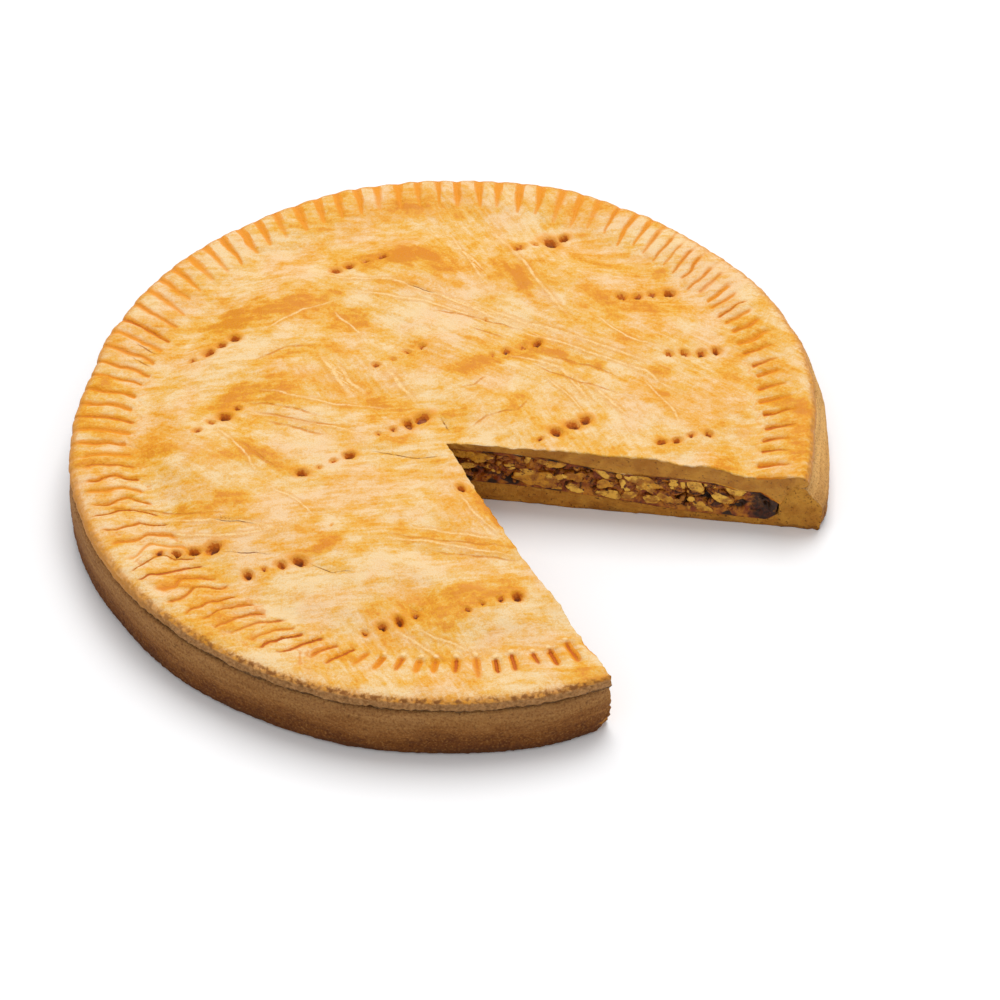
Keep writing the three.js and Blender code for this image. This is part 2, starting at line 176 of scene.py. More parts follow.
# %% [markdown]
# ## A solid swept round the cut tart
# A cake tin makes a surface of revolution, but this one is cut. So each point has three numbers: its
# *ring*, which is its distance from the tart's middle, its *height*, and its *share* of the way round
# from the first cut face to the second. The rays start at the cut's point, so the first and last ray lie
# in the two cut faces and both faces are straight. A section of the solid, a chain of [ring, height]
# points, is swept along the shares. Near the point a ring needs few points and at the rim it needs many,
# so neighbouring rows may have twice or half as many steps. Two flat caps close the solid at the cut
# faces.

# %% Rays and rows
AROUND = 5.28  # radians from one cut face to the other


def on_ray(ring, share):
    """Where the ray at that share meets the circle of that ring: the positive root of |p + t d| = ring, and
    inside the inner ring an even part of it."""
    angle = np.radians(FIRST_FACE + (SECOND_FACE - FIRST_FACE) * share)
    dx, dy = np.cos(angle), np.sin(angle)
    px, py = CUT_POINT
    toward = px * dx + py * dy
    reach = np.sqrt(toward**2 - px**2 - py**2 + np.maximum(ring, INNER_RING) ** 2) - toward
    reach = reach * np.minimum(ring / INNER_RING, 1)
    left = curve(CUT_BOW, reach) * ease((share - BOW_FROM) / (1 - BOW_FROM))
    return px + reach * dx - left * dy, py + reach * dy + left * dx


def turned(degrees):
    """Angles as the tables count them, from -20 to 340."""
    return np.where(degrees > 320, degrees - 360, degrees)


def edge_shift(degrees):
    """How far the lid's edge runs outside of its usual radius, or inside of it if negative."""
    return between(LID_REACH, turned(degrees % 360), True) - LID_R


def strip(a, a_steps, b, b_steps):
    """Triangles between row a and row b, given each row's first point and steps: as many, twice as many,
    or none where a row is a single point."""
    if b_steps < a_steps:
        return strip(b, b_steps, a, a_steps)[:, ::-1]
    j = np.arange(max(a_steps, 1))
    if a_steps == 0:
        j = np.arange(b_steps)
        parts = [(np.full_like(j, a), b + j, b + j + 1)]
    elif a_steps == b_steps:
        parts = [(a + j, b + j, b + j + 1), (a + j, b + j + 1, a + j + 1)]
    else:
        middle = b + 2 * j + 1
        parts = [(a + j, middle - 1, middle), (a + j, middle, a + j + 1), (a + j + 1, middle, middle + 1)]
    return np.concatenate([np.stack(part, 1) for part in parts])


def join_rows(steps):
    """All triangles of rows that have these numbers of steps."""
    starts = np.concatenate([[0], np.cumsum(np.array(steps) + 1)])
    pairs = [strip(starts[k], steps[k], starts[k + 1], steps[k + 1]) for k in range(len(steps) - 1)]
    return np.concatenate(pairs)


def steps_of(rings, wanted, rim_rows=0):
    """How many steps each row gets: the rim's number, halved while a step on that ring is shorter than
    wanted, and never more than twice the row before it. Where a sheet ends at the rim, its last rows get
    the rim's number, and each row before them at least half as many as the next."""
    counts = []
    for ring in rings:
        steps = MOST_STEPS
        while steps % 2 == 0 and AROUND * max(ring, 0.5) / steps < wanted:
            steps //= 2
        counts.append(steps if ring > 0 else 0)
    for k in range(1, len(counts)):
        counts[k] = min(counts[k], 2 * counts[k - 1] or MOST_STEPS // 128)
    for k in range(1, 8 if rim_rows else 1):
        counts[-k] = max(counts[-k], MOST_STEPS // 2 ** max(0, k - rim_rows))
    return counts


# %% Sweeps, caps and meshes
WELD = 3e-7  # metres


def sweep(chain, steps):
    """The chain of [ring, height, ...] rows, each repeated along its shares."""
    sizes = np.array(steps) + 1
    share = np.concatenate([np.linspace(0, 1, n + 1) if n else [0.5] for n in steps])
    return np.repeat(chain, sizes, axis=0), share, join_rows(steps)


def cap(lower, upper, steps, share, right=None):
    """A cut face: rows from the lower chain to the upper one, evenly spaced, with their right ends moved
    onto the right-hand chain. Both chains are read at even parts of their list of points."""
    rows = []
    for k, n in enumerate(steps):
        u, v = np.linspace(0, 1, n + 1), k / (len(steps) - 1)
        ends = []
        for chain in (lower, upper):
            place = u * (len(chain) - 1)
            ends.append(np.stack([np.interp(place, np.arange(len(chain)), c) for c in chain.T], 1))
        row = ends[0] * (1 - v) + ends[1] * v
        if right is not None:
            row += (right[k] - row[-1]) * (u**8)[:, None]
        rows.append(row)
    faces = join_rows(steps)
    fields = np.concatenate(rows)
    return fields, np.full(len(fields), float(share)), faces if share == 1 else faces[:, ::-1]


def solid(upper, upper_steps, lower, lower_steps, face_steps, wall=None):
    """A closed solid: out along the upper chain, down the wall if it has one and back along the lower
    chain, with a cap at each cut face. Gives the chains' numbers at each point, its share of the way
    round, 1 on a cap and 0 elsewhere, and the triangles."""
    walls = [] if wall is None else [wall[1:]]
    steps = upper_steps + [MOST_STEPS] * sum(map(len, walls)) + lower_steps[-2::-1]
    right = None if wall is None else wall[::-1]
    sheets = [sweep(np.concatenate([upper, *walls, lower[-2::-1]]), steps)]
    sheets += [cap(lower, upper, face_steps, share, right) for share in (0, 1)]
    starts = np.cumsum([0] + [len(sheet[1]) for sheet in sheets])
    fields, share = [np.concatenate([sheet[i] for sheet in sheets]) for i in (0, 1)]
    on_cut = (np.arange(len(share)) >= starts[1]).astype(float)
    return fields.T, share, on_cut, np.concatenate([sheet[2] + start for sheet, start in zip(sheets, starts)])


def make_piece(name, points, faces, fields):
    """A mesh object from points in millimetres, with one number per point stored under each field's name.
    Points that coincide where sheets meet are welded."""
    mesh = bpy.data.meshes.new(name)
    mesh.vertices.add(len(points))
    mesh.vertices.foreach_set("co", (points * MM).astype(np.float32).ravel())
    mesh.loops.add(faces.size)
    mesh.loops.foreach_set("vertex_index", faces.astype(np.int32).ravel())
    mesh.polygons.add(len(faces))
    mesh.polygons.foreach_set("loop_start", np.arange(0, faces.size, 3, dtype=np.int32))
    mesh.update(calc_edges=True)
    for field, values in fields.items():
        layer = mesh.attributes.new(field, "FLOAT", "POINT")
        layer.data.foreach_set("value", np.asarray(values, np.float32))
    soft = bmesh.new()
    soft.from_mesh(mesh)
    bmesh.ops.remove_doubles(soft, verts=soft.verts, dist=WELD)
    open_edges = sum(1 for e in soft.edges if len(e.link_faces) != 2)
    volume = soft.calc_volume(signed=True) * 1e6
    soft.to_mesh(mesh)
    soft.free()
    mesh.polygons.foreach_set("use_smooth", np.ones(len(mesh.polygons), bool))
    piece = bpy.data.objects.new(name, mesh)
    bpy.context.scene.collection.objects.link(piece)
    print(f"{name}: {len(mesh.polygons)} triangles, {open_edges} open edges, {volume:.1f} cubic cm")
    return piece


# %% [markdown]
# ## How the lid rises and falls
# The lid isn't flat. The filling pushes it up in soft mounds and leaves it hollow elsewhere, and over the
# whole lid runs a slow unevenness from the rolling pin. A mound is a bell, h exp(-(d/r)^2), and the slow
# waves are sines.

# %% Mounds, hollows and waves
MOUNDS = [  # x, y, radius, height
    [-76, -18, 15, 1.9], [12, -87, 14, 1.7], [33, -15, 16, 0.8], [60, -18, 7, 0.8], [12, 14, 16, 1.1],
    [72, -20, 5, -1.1], [81, -22, 6, 1.2],
    [-48, 18, 13, 0.9], [-58, 64, 17, 0.8], [-14, 86, 13, 1], [40, 68, 17, 0.9], [72, 48, 14, 0.7],
    [-32, -60, 15, 0.9], [-9, -76, 7, -1.3], [-62, -84, 12, 0.6], [22, 40, 12, -0.5], [-20, 44, 16, -0.6],
]
WAVES = [  # waves per millimetre, direction, phase, height
    [0.021, 20, 0.4, 0.22], [0.027, 95, 2.1, 0.2], [0.034, 150, 4, 0.16], [0.041, 60, 5.2, 0.12],
]
LIFT_ENDS, LIFT_FADE = 104, 14


def lift(x, y):
    """The sum of the bells and the sines, eased to nothing at the pressed rim."""
    height = np.zeros_like(x)
    for mx, my, r, h in MOUNDS:
        height += h * np.exp(-((x - mx) ** 2 + (y - my) ** 2) / r**2)
    for crests, turn, phase, h in WAVES:
        height += h * np.sin(2 * np.pi * crests * rotated(x, y, turn)[0] + phase)
    return height * ease((LIFT_ENDS - np.hypot(x, y)) / LIFT_FADE)


# %% [markdown]
# ## The fork's marks
# The rim is pressed down with a fork, all the way round, and the hand gets tired and changes its angle:
# the marks are shallow wedges at the back, long ridges on the left, wrinkled chevrons in front of them,
# short deep notches at the front and thin slanting lines at the back right. So the marks' pitch, reach,
# lean and depth are a short table by angle, eased from one entry to the next. Stepping round by the local
# pitch gives each mark its own angle, and each mark then gets a little bad luck of its own in width,
# depth and length.

# %% The fork's marks by angle
# The angle, the way to the next mark, where a mark starts and ends from the middle, the lean of its inner
# and outer part, how far it runs on over the edge, depth, half width, taper (more than 0 is wider outside),
# stain, how dark its core is, the curl round its inner end, the painted glint on its raised end, how much it
# wanders.
MARK_COLUMNS = "at pitch from to inner outer open deep half taper stain dark curl dab sway".split()
MARKS = [
    [-14, 6, 97.5, 107, 6, 0, 0, 1, 0.85, -0.9, 0.9, 0.7, 0.6, 0.3, 0.3],
    [16, 6, 98.5, 109, 4, 0, 0, 0.9, 0.85, -0.9, 0.9, 0.5, 0.8, 0.3, 0.5],
    [28, 4.4, 100, 111, 8, 6, 0.1, 0.8, 0.75, -0.2, 0.9, 0.45, 0.4, 0.1, 0.9],
    [47, 4.2, 101.5, 114, 8, 8, 0.4, 0.7, 0.6, 0.3, 0.85, 0.45, 0, 0, 0.6],
    [58, 5.8, 103, 116, 6, 6, 0.8, 0.6, 0.7, 0.7, 0.85, 0.35, 0, 0, 0.4],
    [84, 6.4, 105, 117, 6, 6, 1, 0.6, 0.95, 0.9, 0.9, 0.15, 0, 0, 0.3],
    [98, 6.4, 105, 117, -2, -2, 1, 0.6, 1, 0.9, 0.9, 0.15, 0, 0, 0.3],
    [112, 6.4, 105, 117, -10, -10, 1, 0.6, 1.05, 0.9, 0.95, 0.2, 0, 0, 0.3],
    [140, 6.2, 102.5, 117, -10, -10, 1, 0.7, 1, 0.8, 0.95, 0.25, 0, 0, 0.4],
    [157, 6, 98, 116, -13, -6, 1, 0.8, 0.9, 0.1, 0.95, 0.4, 0, 0, 0.7],
    [170, 5.8, 98.5, 116, -10, -2, 1, 0.8, 0.8, 0, 0.95, 0.35, 0.6, 0.4, 0.5],
    [184, 5.2, 99, 115, -6, -2, 0.7, 0.8, 0.75, 0, 0.95, 0.45, 0.7, 0.4, 0.6],
    [192, 5, 98, 114, -18, 4, 0.3, 0.8, 0.7, 0, 0.95, 0.55, 0.3, 0.2, 1.2],
    [206, 5.8, 95, 115, -34, 4, 0.2, 0.75, 0.75, -0.2, 0.85, 0.7, 0, 0, 1.5],
    [224, 5.8, 96, 113, -30, -6, 0, 0.65, 0.75, -0.2, 0.75, 0.55, 0, 0, 1.5],
    [240, 5.6, 97, 110, -40, -34, 0, 0.7, 0.85, -0.3, 0.85, 0.6, 0, 0, 1.2],
    [252, 5.8, 98.5, 107.5, -34, -30, 0, 0.9, 1, -0.5, 0.9, 0.6, 0.1, 0.2, 0.7],
    [262, 5.8, 99.5, 106.3, -8, -8, 0, 1, 1.1, -0.8, 0.95, 0.45, 0.4, 1, 0.2],
    [278, 5.8, 99.7, 107.8, 0, 0, 0, 1.3, 1.6, -0.6, 1.2, 1, 0.5, 1, 0.2],
    [300, 5.8, 99.2, 107.8, 2, 2, 0, 1.3, 1.6, -0.6, 1.2, 1.05, 0.5, 0.8, 0.2],
]
MARK_BEND_R = 103  # the ring where the lean changes
# How dark and crumbly the lid's edge is, by angle: darkest round the front, from 240 to 290 degrees.
EDGE_BROWN = [
    [-20, 0.35], [-12, 0.4], [28, 0.35], [42, 0.1], [180, 0.1], [192, 0.2], [212, 0.35], [228, 0.75],
    [240, 1], [290, 1], [296, 0.6], [340, 0.35],
]
# How much the dough between the marks is crumpled, by angle.
CRUMPLED = [[-20, 0.2], [60, 0.1], [150, 0.2], [180, 0.5], [196, 1], [250, 1], [264, 0.2], [340, 0.2]]


def mark_setting(name, degrees):
    """One column of the table at each angle, eased between entries."""
    table = np.array(MARKS)
    at, value = table[:, 0], table[:, MARK_COLUMNS.index(name)]
    a = np.clip(turned(degrees % 360), at[0], at[-1])
    i = np.clip(np.searchsorted(at, a, side="right") - 1, 0, len(at) - 2)
    return value[i] + (value[i + 1] - value[i]) * ease((a - at[i]) / (at[i + 1] - at[i]))


mark_angles = [0.0]
while mark_angles[-1] < 360:
    step = np.degrees(float(mark_setting("pitch", np.array(mark_angles[-1]))) / MARK_BEND_R)
    mark_angles.append(mark_angles[-1] + step)
luck = np.random.default_rng(12)
mark_angles = np.array(mark_angles[:-1]) + luck.normal(0, 0.22, len(mark_angles) - 1)
mark_luck = luck.normal(0, 1, (5, len(mark_angles)))  # width, depth, start, end, darkness
print(len(mark_angles), "fork marks")


# %% The fork's marks on the lid
def fork_marks(x, y):
    """At each point the nearest mark's relief, and numbers for the finish: how stained and dark the mark
    is there. Across a mark the groove is a bell of the distance to its middle line. Along it, it starts
    sharply, and fades out as its taper says. A curl is a thin line that joins the inner ends of
    neighbouring marks in an arc, and a dab is a pale end. From the sine and cosine of the way from one
    mark to the next, and the sine at which the groove ends, the finish draws lines finer than the
    mesh."""
    r = np.hypot(x, y)
    degrees = np.degrees(np.arctan2(y, x)) % 360
    get = {name: mark_setting(name, degrees) for name in MARK_COLUMNS[1:]}
    lean = np.where(r < MARK_BEND_R, get["inner"], get["outer"])
    slide = np.tan(np.radians(lean)) * (r - MARK_BEND_R) + get["sway"] * rough(x, y, 6, 31, 2)
    own = (degrees - np.degrees(slide / r)) % 360
    order = np.searchsorted(mark_angles, own)
    left, right = (order - 1) % len(mark_angles), order % len(mark_angles)
    off_left = (own - mark_angles[left] + 180) % 360 - 180
    off_right = (own - mark_angles[right] + 180) % 360 - 180
    nearest = np.where(np.abs(off_left) < np.abs(off_right), left, right)
    away = np.radians(np.minimum(np.abs(off_left), np.abs(off_right))) * r
    phase = 2 * np.pi * off_left / (off_left - off_right + 1e-9)
    width_luck, depth_luck, start_luck, end_luck, dark_luck = mark_luck[:, nearest]
    start, end = get["from"] + 0.6 * start_luck, get["to"] + 0.7 * end_luck
    along = np.clip((r - start) / (end - start), 0, 1)
    swell = get["taper"] * (2 * along - 1)
    half = get["half"] * (1 + 0.15 * width_luck) * np.clip(1 + 0.5 * swell, 0.35, 1.6)
    inside = ease((r - start + 0.4) / 1.2) * (1 - (1 - get["open"]) * ease((r - end + 2) / 3))
    strong = np.clip(1 + 0.45 * swell, 0.3, 1.4)
    groove = np.exp(-((away / half) ** 2)) * inside
    shallow = 1 - 0.65 * get["open"] * ease((r - 111) / 6)
    deep = get["deep"] * (1 + 0.2 * depth_luck) * strong * shallow
    middle = 0.5 * get["pitch"]
    pillow = 0.3 * ease(away / middle) * inside * shallow
    arc = start - 0.4 - 1.7 * ease(away / middle)
    curl = get["curl"] * np.exp(-(((r - arc) / 0.55) ** 2))
    # Painted highlight: a small raised dab at the mark's inner end, which the finish paints pale as a glint.
    dab = get["dab"] * np.exp(-(((r - start + 0.9) / 0.75) ** 2) - (away / 1.1) ** 2)
    stain = get["stain"] * (1 + 0.12 * depth_luck) * inside * strong
    dark = get["dark"] * (1 + 0.25 * dark_luck) * inside * strong
    relief = pillow - deep * groove - 0.35 * curl + 0.35 * dab
    return relief, {
        "stain": np.clip(stain, 0, 1.2), "mark": np.clip(dark, 0, 1.3), "curl": curl, "dab": dab,
        "mark_sine": np.sin(phase), "mark_cosine": np.cos(phase),
        "mark_wide": np.sin(np.pi * np.minimum(half / middle, 0.5)),
    }


# %% [markdown]
# ## The pricks
# Before baking, the lid is pricked with the same fork, in rows of four, to let the steam out. Some holes
# stay open, some close to a slit. A prick is a steep-sided dent with a low torn collar round it.

# %% The pricks
PRICK_PITCH = 5.4
PRICK_ROWS = [  # where the first hole is, the row's direction, and how wide each hole is
    [22, 84.5, 21, [3.4, 2.4, 4.6, 3]], [55, 58.8, 17, [3, 2.4, 2.6, 4]], [69, 31, 14, [2.4, 2.8, 2.6, 2.8]],
    [13, 30, 22, [1.6, 2.4, 1.8, 2.8]], [-23, 26.3, 30, [2, 1.8, 1.8, 2.4]],
    [-81.5, 29.5, 36, [1.8, 3.4, 3, 3.4]], [-38, 72.5, 22, [2.8, 2.8, 2.4, 2.6]],
    [-78, -5, 42, [1.8, 1.8, 4, 2.2]], [-22, -6.8, 32, [1.6, 1.8, 3.2, 4.6]],
    [-45, -24, 30, [3.4, 1.4, 1.6, 3.4]], [28.5, -8.6, 31, [2, 3.2, 4, 3.8]],
    [65, -10, 16, [2.4, 2.2, 2.2, 2.8]], [-86.7, -56.8, 10, [2.4, 2.8, 3.2, 4.2]],
    [-60, -65.6, 17, [2.8, 1.8, 2.6, 3.6]], [-24, -89, 22, [1.8, 3, 3.4, 2.4]],
    [6, -82, 23, [2, 2, 2.2, 3.4]], [4, -29.5, 0, [2.6]], [11, 47, 0, [0.9]], [-35, -47, 0, [0.9]],
]
PRICK_DEPTH = 2.4


def pricks(x, y):
    """At each point the relief of the pricks, how far outside the nearest hole's rim it lies, in hole
    radii, and how far towards that hole's back. Each hole is a bent oval, dug deeper towards the front,
    with a collar that is highest at its back."""
    relief, outside, behind = np.zeros_like(x), np.full_like(x, 9.0), np.zeros_like(x)
    chance = np.random.default_rng(5)
    ragged_x, ragged_y = 0.28 * rough(x, y, 1.5, 45, 2), 0.28 * rough(x, y, 1.5, 47, 2)
    for px, py, turn, widths in PRICK_ROWS:
        for i, wide in enumerate(widths):
            cx, cy = np.add(moved(px, py, turn, i * PRICK_PITCH), chance.normal(0, 0.25, 2))
            across, up = chance.uniform(0.85, 1.25), chance.uniform(0.75, 1.05)
            skew = chance.uniform(-0.4, 0.4)
            near = np.hypot(x - cx, y - cy) < 4 * wide
            dx, dy = (x[near] - cx + ragged_x[near]) / across, (y[near] - cy + ragged_y[near]) / up
            dx = dx + skew * dy
            away = np.hypot(dx, dy) / (wide / 2)
            bowl = 1 / (1 + (np.hypot(dx, dy + 0.12 * wide) / (wide / 2) / 0.85) ** 6)
            collar = np.exp(-(((away - 1.4) / 0.35) ** 2)) * (1 + 0.6 * np.clip(dy / wide, -1, 1))
            relief[near] += 0.2 * min(1, wide / 2.5) * collar - PRICK_DEPTH * min(1, wide / 3) * bowl
            behind[near] = np.where(away - 1 < outside[near], dy / (wide / 2), behind[near])
            outside[near] = np.minimum(outside[near], away - 1)
    return relief, {"hole_away": outside, "hole_behind": np.clip(behind, -2, 2)}


# %% [markdown]
# ## Brush strokes, scratches and cracks
# The egg wash was brushed on unevenly, so the lid is streaked: deep yellow where it pooled, pale where
# the brush missed. Fine pale ridges, darker lines and a few hair cracks run across it. Each stroke is a
# long bell turned to the brush's direction. Each scratch is a line of points with a width; what a point
# of the lid gets from it falls off as a bell of its distance to the line and fades at the ends.

# %% Brush strokes and lines
STROKES = [  # x, y, half length, half width, direction, strength of the wash
    [-15, 79, 15, 4, 3, 1.2], [-3, 74, 15, 3.5, -10, 1], [-40, 80, 14, 5, 20, 0.5],
    [-50, 58, 18, 5, 30, 0.8], [-73, 44, 12, 5, 65, 1], [-58, 50, 14, 5, 15, 0.7],
    [-28, 46, 11, 4, -25, 0.7], [-50, 31, 13, 3, 20, 0.9], [-50, 23, 14, 7, 10, 0.5],
    [-60, 12, 18, 4, 8, 0.8], [-92, -14, 6, 16, 0, 0.9], [-70, -32, 12, 4, -20, 0.6],
    [-57, -17, 13, 3.4, -42, 1.1], [-48, -3, 20, 2.6, -12, 0.6], [-30, 6, 20, 2.5, -8, 0.6],
    [-82, -38, 16, 3.6, 0, 0.8], [-34, -53, 13, 3, 28, 0.8], [-12, -49, 16, 2.2, -6, 0.6],
    [12, -54, 18, 2, -8, 0.6], [-62, -70, 18, 4, -12, 0.6], [2, -76, 14, 4.5, 10, 0.9],
    [18, -74, 8, 3, 25, 1.1], [-6, -84, 12, 3, -28, 0.5], [-22, -95, 18, 4, -12, 0.6],
    [13, -40, 11, 2.4, -60, 0.9], [32, 76, 16, 6, 8, 0.7], [56, 76, 13, 4, 3, 0.9],
    [22, 65, 9, 2.6, -62, 1.1], [52, 55, 14, 5, -20, 0.6], [70, 52, 14, 7, 20, 0.4],
    [45, 41, 12, 2.6, -25, 0.6], [6, 23, 10, 5, 30, 0.8], [16, 29, 13, 3.6, 8, 0.6],
    [38, 29, 16, 1.6, -27, 0.8], [50, 21, 14, 1.4, -27, 0.8], [20, 6, 8, 3, 62, 0.6],
    [64, -13, 15, 2.4, 8, 0.7], [86, -20, 6, 6, 0, 0.8], [-24, 12, 12, 2.4, -50, 0.4],
    [-72, 8, 8, 3, 35, 0.7], [107, -4, 7, 22, 0, 0.8], [98, 42, 9, 14, 40, 0.5], [-108, 12, 7, 26, 0, 0.5],
    [-12, -8, 12, 2, -6, 0.5], [-30, -26, 16, 2.4, 4, 0.3], [22, -30, 10, 2, -65, 0.4],
    [-8, 105, 9, 5, 0, 0.6],
]
TANNED = [  # x, y, half length, half width, direction, strength of the browning
    [-16, 86, 9, 4, 8, 1], [-60, 72, 11, 6, 35, 0.5], [-72, 55, 9, 5, 30, 0.6], [-76, -17, 11, 9, -20, 0.9],
    [12, 61, 8, 5, 0, 0.7], [58, 79, 10, 3.5, 5, 0.9], [10, 12, 13, 9, 20, 0.6], [-48, 20, 7, 4, 0, 0.7],
    [8, -73, 11, 2.6, 4, 1], [14, -91, 4, 3, 0, 0.8], [-7, 103, 7, 3, -3, 1], [91, -3, 5, 6, 0, 0.9],
    [-28, -68, 9, 3.5, -10, 0.6], [-44, -74, 9, 4, -10, 0.6], [-9, -76, 5, 5, 0, 0.6],
    [70, 12, 14, 10, 0, 0.3],
]
LINES = {  # half width, height in millimetres, points: pale ridges, and darker scratches and cracks
    "pale": [
        [0.8, 0.3, (12, 97), (20, 82), (35, 52), (42, 40)], [0.6, 0.2, (-1, 93), (6, 76), (13, 62)],
        [0.6, 0.15, (2, 84), (12, 70)], [0.7, 0.2, (-54, 70), (-20, 66), (0, 57), (20, 44), (40, 38)],
        [0.6, 0.15, (-38, 62), (-8, 56), (22, 40)], [0.7, 0.2, (2, 57), (24, 46), (52, 32), (78, 20)],
        [0.6, 0.15, (14, 46), (40, 33), (62, 22), (80, 6)],
        [0.7, 0.2, (16, 31), (35, 24), (41, 14), (48, 1)], [0.6, 0.2, (35, 24), (46, 14), (58, -3)],
        [0.5, 0.15, (28, 22), (38, 10), (44, -2)], [1.2, 0.2, (-42, 31), (-36, 20), (-29, 9)],
        [0.8, 0.15, (-37, 27), (-30, 16), (-25, 10)], [0.9, 0.2, (-21, 25), (-15, 15), (-9, 6)],
        [0.6, 0.15, (-38, 52), (-32, 44), (-26, 36)], [0.6, 0.15, (-74, -2), (-64, -14), (-57, -26)],
        [0.6, 0.15, (-68, 4), (-40, -2), (-22, -9)], [0.6, 0.15, (-62, 14), (-36, 7), (-16, 5)],
        [0.6, 0.15, (-88, -42), (-62, -44), (-46, -50)], [0.6, 0.2, (-92, -47), (-66, -50), (-44, -47)],
        [0.7, 0.15, (-16, -88), (-8, -94), (0, -100)], [0.6, 0.15, (-10, -88), (0, -93), (9, -97)],
        [0.5, 0.1, (-56, -28), (-46, -36), (-38, -46)],
        [0.6, 0.15, (-22, -52), (-4, -54), (12, -58), (27, -60)], [0.6, 0.15, (2, -31), (8, -42), (20, -56)],
        [0.6, 0.12, (-14, -47), (4, -50), (20, -54)], [0.6, 0.15, (60, 20), (70, 4), (72, -6)],
        [0.5, 0.1, (44, 50), (56, 38), (72, 32)], [0.5, 0.1, (-60, 40), (-48, 52), (-34, 58)],
    ],
    "dark": [
        [0.6, -0.12, (28, 30), (44, 25), (56, 17)], [0.5, -0.1, (24, 26), (42, 17), (58, 9)],
        [0.5, -0.1, (-8, 52), (10, 47), (26, 41)], [0.5, -0.1, (6, 43), (18, 38)],
        [0.6, -0.12, (-64, 8), (-50, 5), (-38, 1)], [0.6, -0.12, (-62, 3), (-44, -1), (-28, -4)],
        [0.6, -0.12, (-58, -1), (-46, -4), (-36, -8)], [0.7, -0.15, (-66, -9), (-58, -17), (-50, -24)],
        [0.5, -0.1, (-22, -50), (-4, -53), (14, -55), (26, -58)],
        [0.5, -0.12, (-6, -57), (10, -60), (24, -62)], [0.5, -0.1, (12, 20), (8, 16), (3, 14)],
        [0.5, -0.12, (26, 11), (21, 4), (12, 1), (4, -6)], [0.5, -0.1, (-40, 34), (-52, 33), (-64, 26)],
        [0.5, -0.1, (-98, -36), (-80, -40), (-62, -41)], [0.28, -0.5, (-15, 64), (-10, 62), (-4, 59)],
        [0.25, -0.4, (-72, -43), (-64, -44), (-56, -46)], [0.25, -0.4, (-68, -56), (-60, -57), (-52, -58)],
        [0.25, -0.4, (-42, -62), (-34, -66), (-27, -67)], [0.3, -0.5, (-3, 2), (-1, -2), (0, -6)],
        [0.25, -0.3, (-25, -14), (-10, -16), (2, -16)], [0.5, -0.6, (-12, -79), (-9, -82), (-6, -80)],
        [0.36, -0.3, (-101, 38.4), (-92, 32.6)], [0.36, -0.3, (-101, 31.4), (-94.3, 27)],
    ],
}
BRUSH_TURNS = (-30, -62, 6)  # the three ways the brush went, in degrees
BRUSH_AREAS = [  # where it went which way: x, y, reach, number of the way
    [20, 46, 34, 0], [72, 20, 30, 0], [-62, -18, 24, 0], [-30, 66, 24, 0], [18, 78, 26, 1], [46, 2, 26, 1],
    [-36, 20, 18, 1], [8, -44, 20, 1], [-8, -94, 20, 1], [-60, 40, 30, 2], [-30, -8, 34, 2],
    [-70, -50, 36, 2], [-10, -56, 30, 2], [30, -86, 26, 2], [64, 76, 30, 2], [-40, 84, 24, 2],
    [84, -10, 24, 2],
]


def brush_shares(x, y):
    """How much each of the three ways counts at a point: its areas' bells, as shares of all of them."""
    bells = [np.full_like(x, 1e-3) for way in BRUSH_TURNS]
    for cx, cy, reach, way in BRUSH_AREAS:
        bells[way] = bells[way] + np.exp(-((x - cx) ** 2 + (y - cy) ** 2) / reach**2) ** 2
    return [bell / sum(bells) for bell in bells]


def brushed(x, y):
    """Streaks along the brush's ways: rough heights that are eight times as long as they are wide."""
    total = np.zeros_like(x)
    for way, (turn, share) in enumerate(zip(BRUSH_TURNS, brush_shares(x, y))):
        along, across = rotated(x, y, turn)
        total += share * rough(along / 8, across, 2.6, 301 + way, 2)
    return total


def blots(spots, x, y):
    """The sum of long bells, each turned to its own direction, with ragged edges."""
    u = x + 1.6 * rough(x, y, 6, 41, 2)
    v = y + 1.6 * rough(x, y, 6, 43, 2)
    total = np.zeros_like(x)
    for cx, cy, long, short, turn, strength in spots:
        along, across = rotated(u - cx, v - cy, turn)
        total += strength * np.exp(-((along / long) ** 2) - (across / short) ** 2)
    return total


def lines(kind, x, y):
    """For the nearest line of a kind: its relief, and for the finish its strength, its half width, the
    distance to it, and the same with a sign for the side. A relief is a bell of the distance, and a
    strength fades over the last part of the line's length. The signed distance passes evenly through zero
    at the line, so the finish can draw a line with it that is finer than the mesh."""
    height, strength, width = np.zeros_like(x), np.zeros_like(x), np.full_like(x, 0.5)
    best, side = np.full_like(x, 4.0), np.full_like(x, 4.0)
    u = x + 0.5 * rough(x, y, 5, 51) + 0.15 * rough(x, y, 1.6, 53)
    v = y + 0.5 * rough(x, y, 5, 52) + 0.15 * rough(x, y, 1.6, 54)
    for wide, high, *points in LINES[kind]:
        passed = way_along(points)
        for (ax, ay), (bx, by), start, end in zip(points, points[1:], passed, passed[1:]):
            du, dv, dx, dy = u - ax, v - ay, bx - ax, by - ay
            t = np.clip((du * dx + dv * dy) / (end - start) ** 2, 0, 1)
            away = np.hypot(du - t * dx, dv - t * dy)
            where = (start + t * (end - start)) / passed[-1]
            fade = ease(where / 0.25) * ease((1 - where) / 0.35)
            nearer = away < best
            side = np.where(nearer, np.where(dv * dx > du * dy, away, -away), side)
            best, strength = np.where(nearer, away, best), np.where(nearer, fade, strength)
            height = np.where(nearer, high * np.exp(-((away / max(wide, 0.9)) ** 2)) * fade, height)
            width = np.where(nearer, wide, width)
    return height, {kind: strength, kind + "_wide": width, kind + "_away": best, kind + "_side": side}


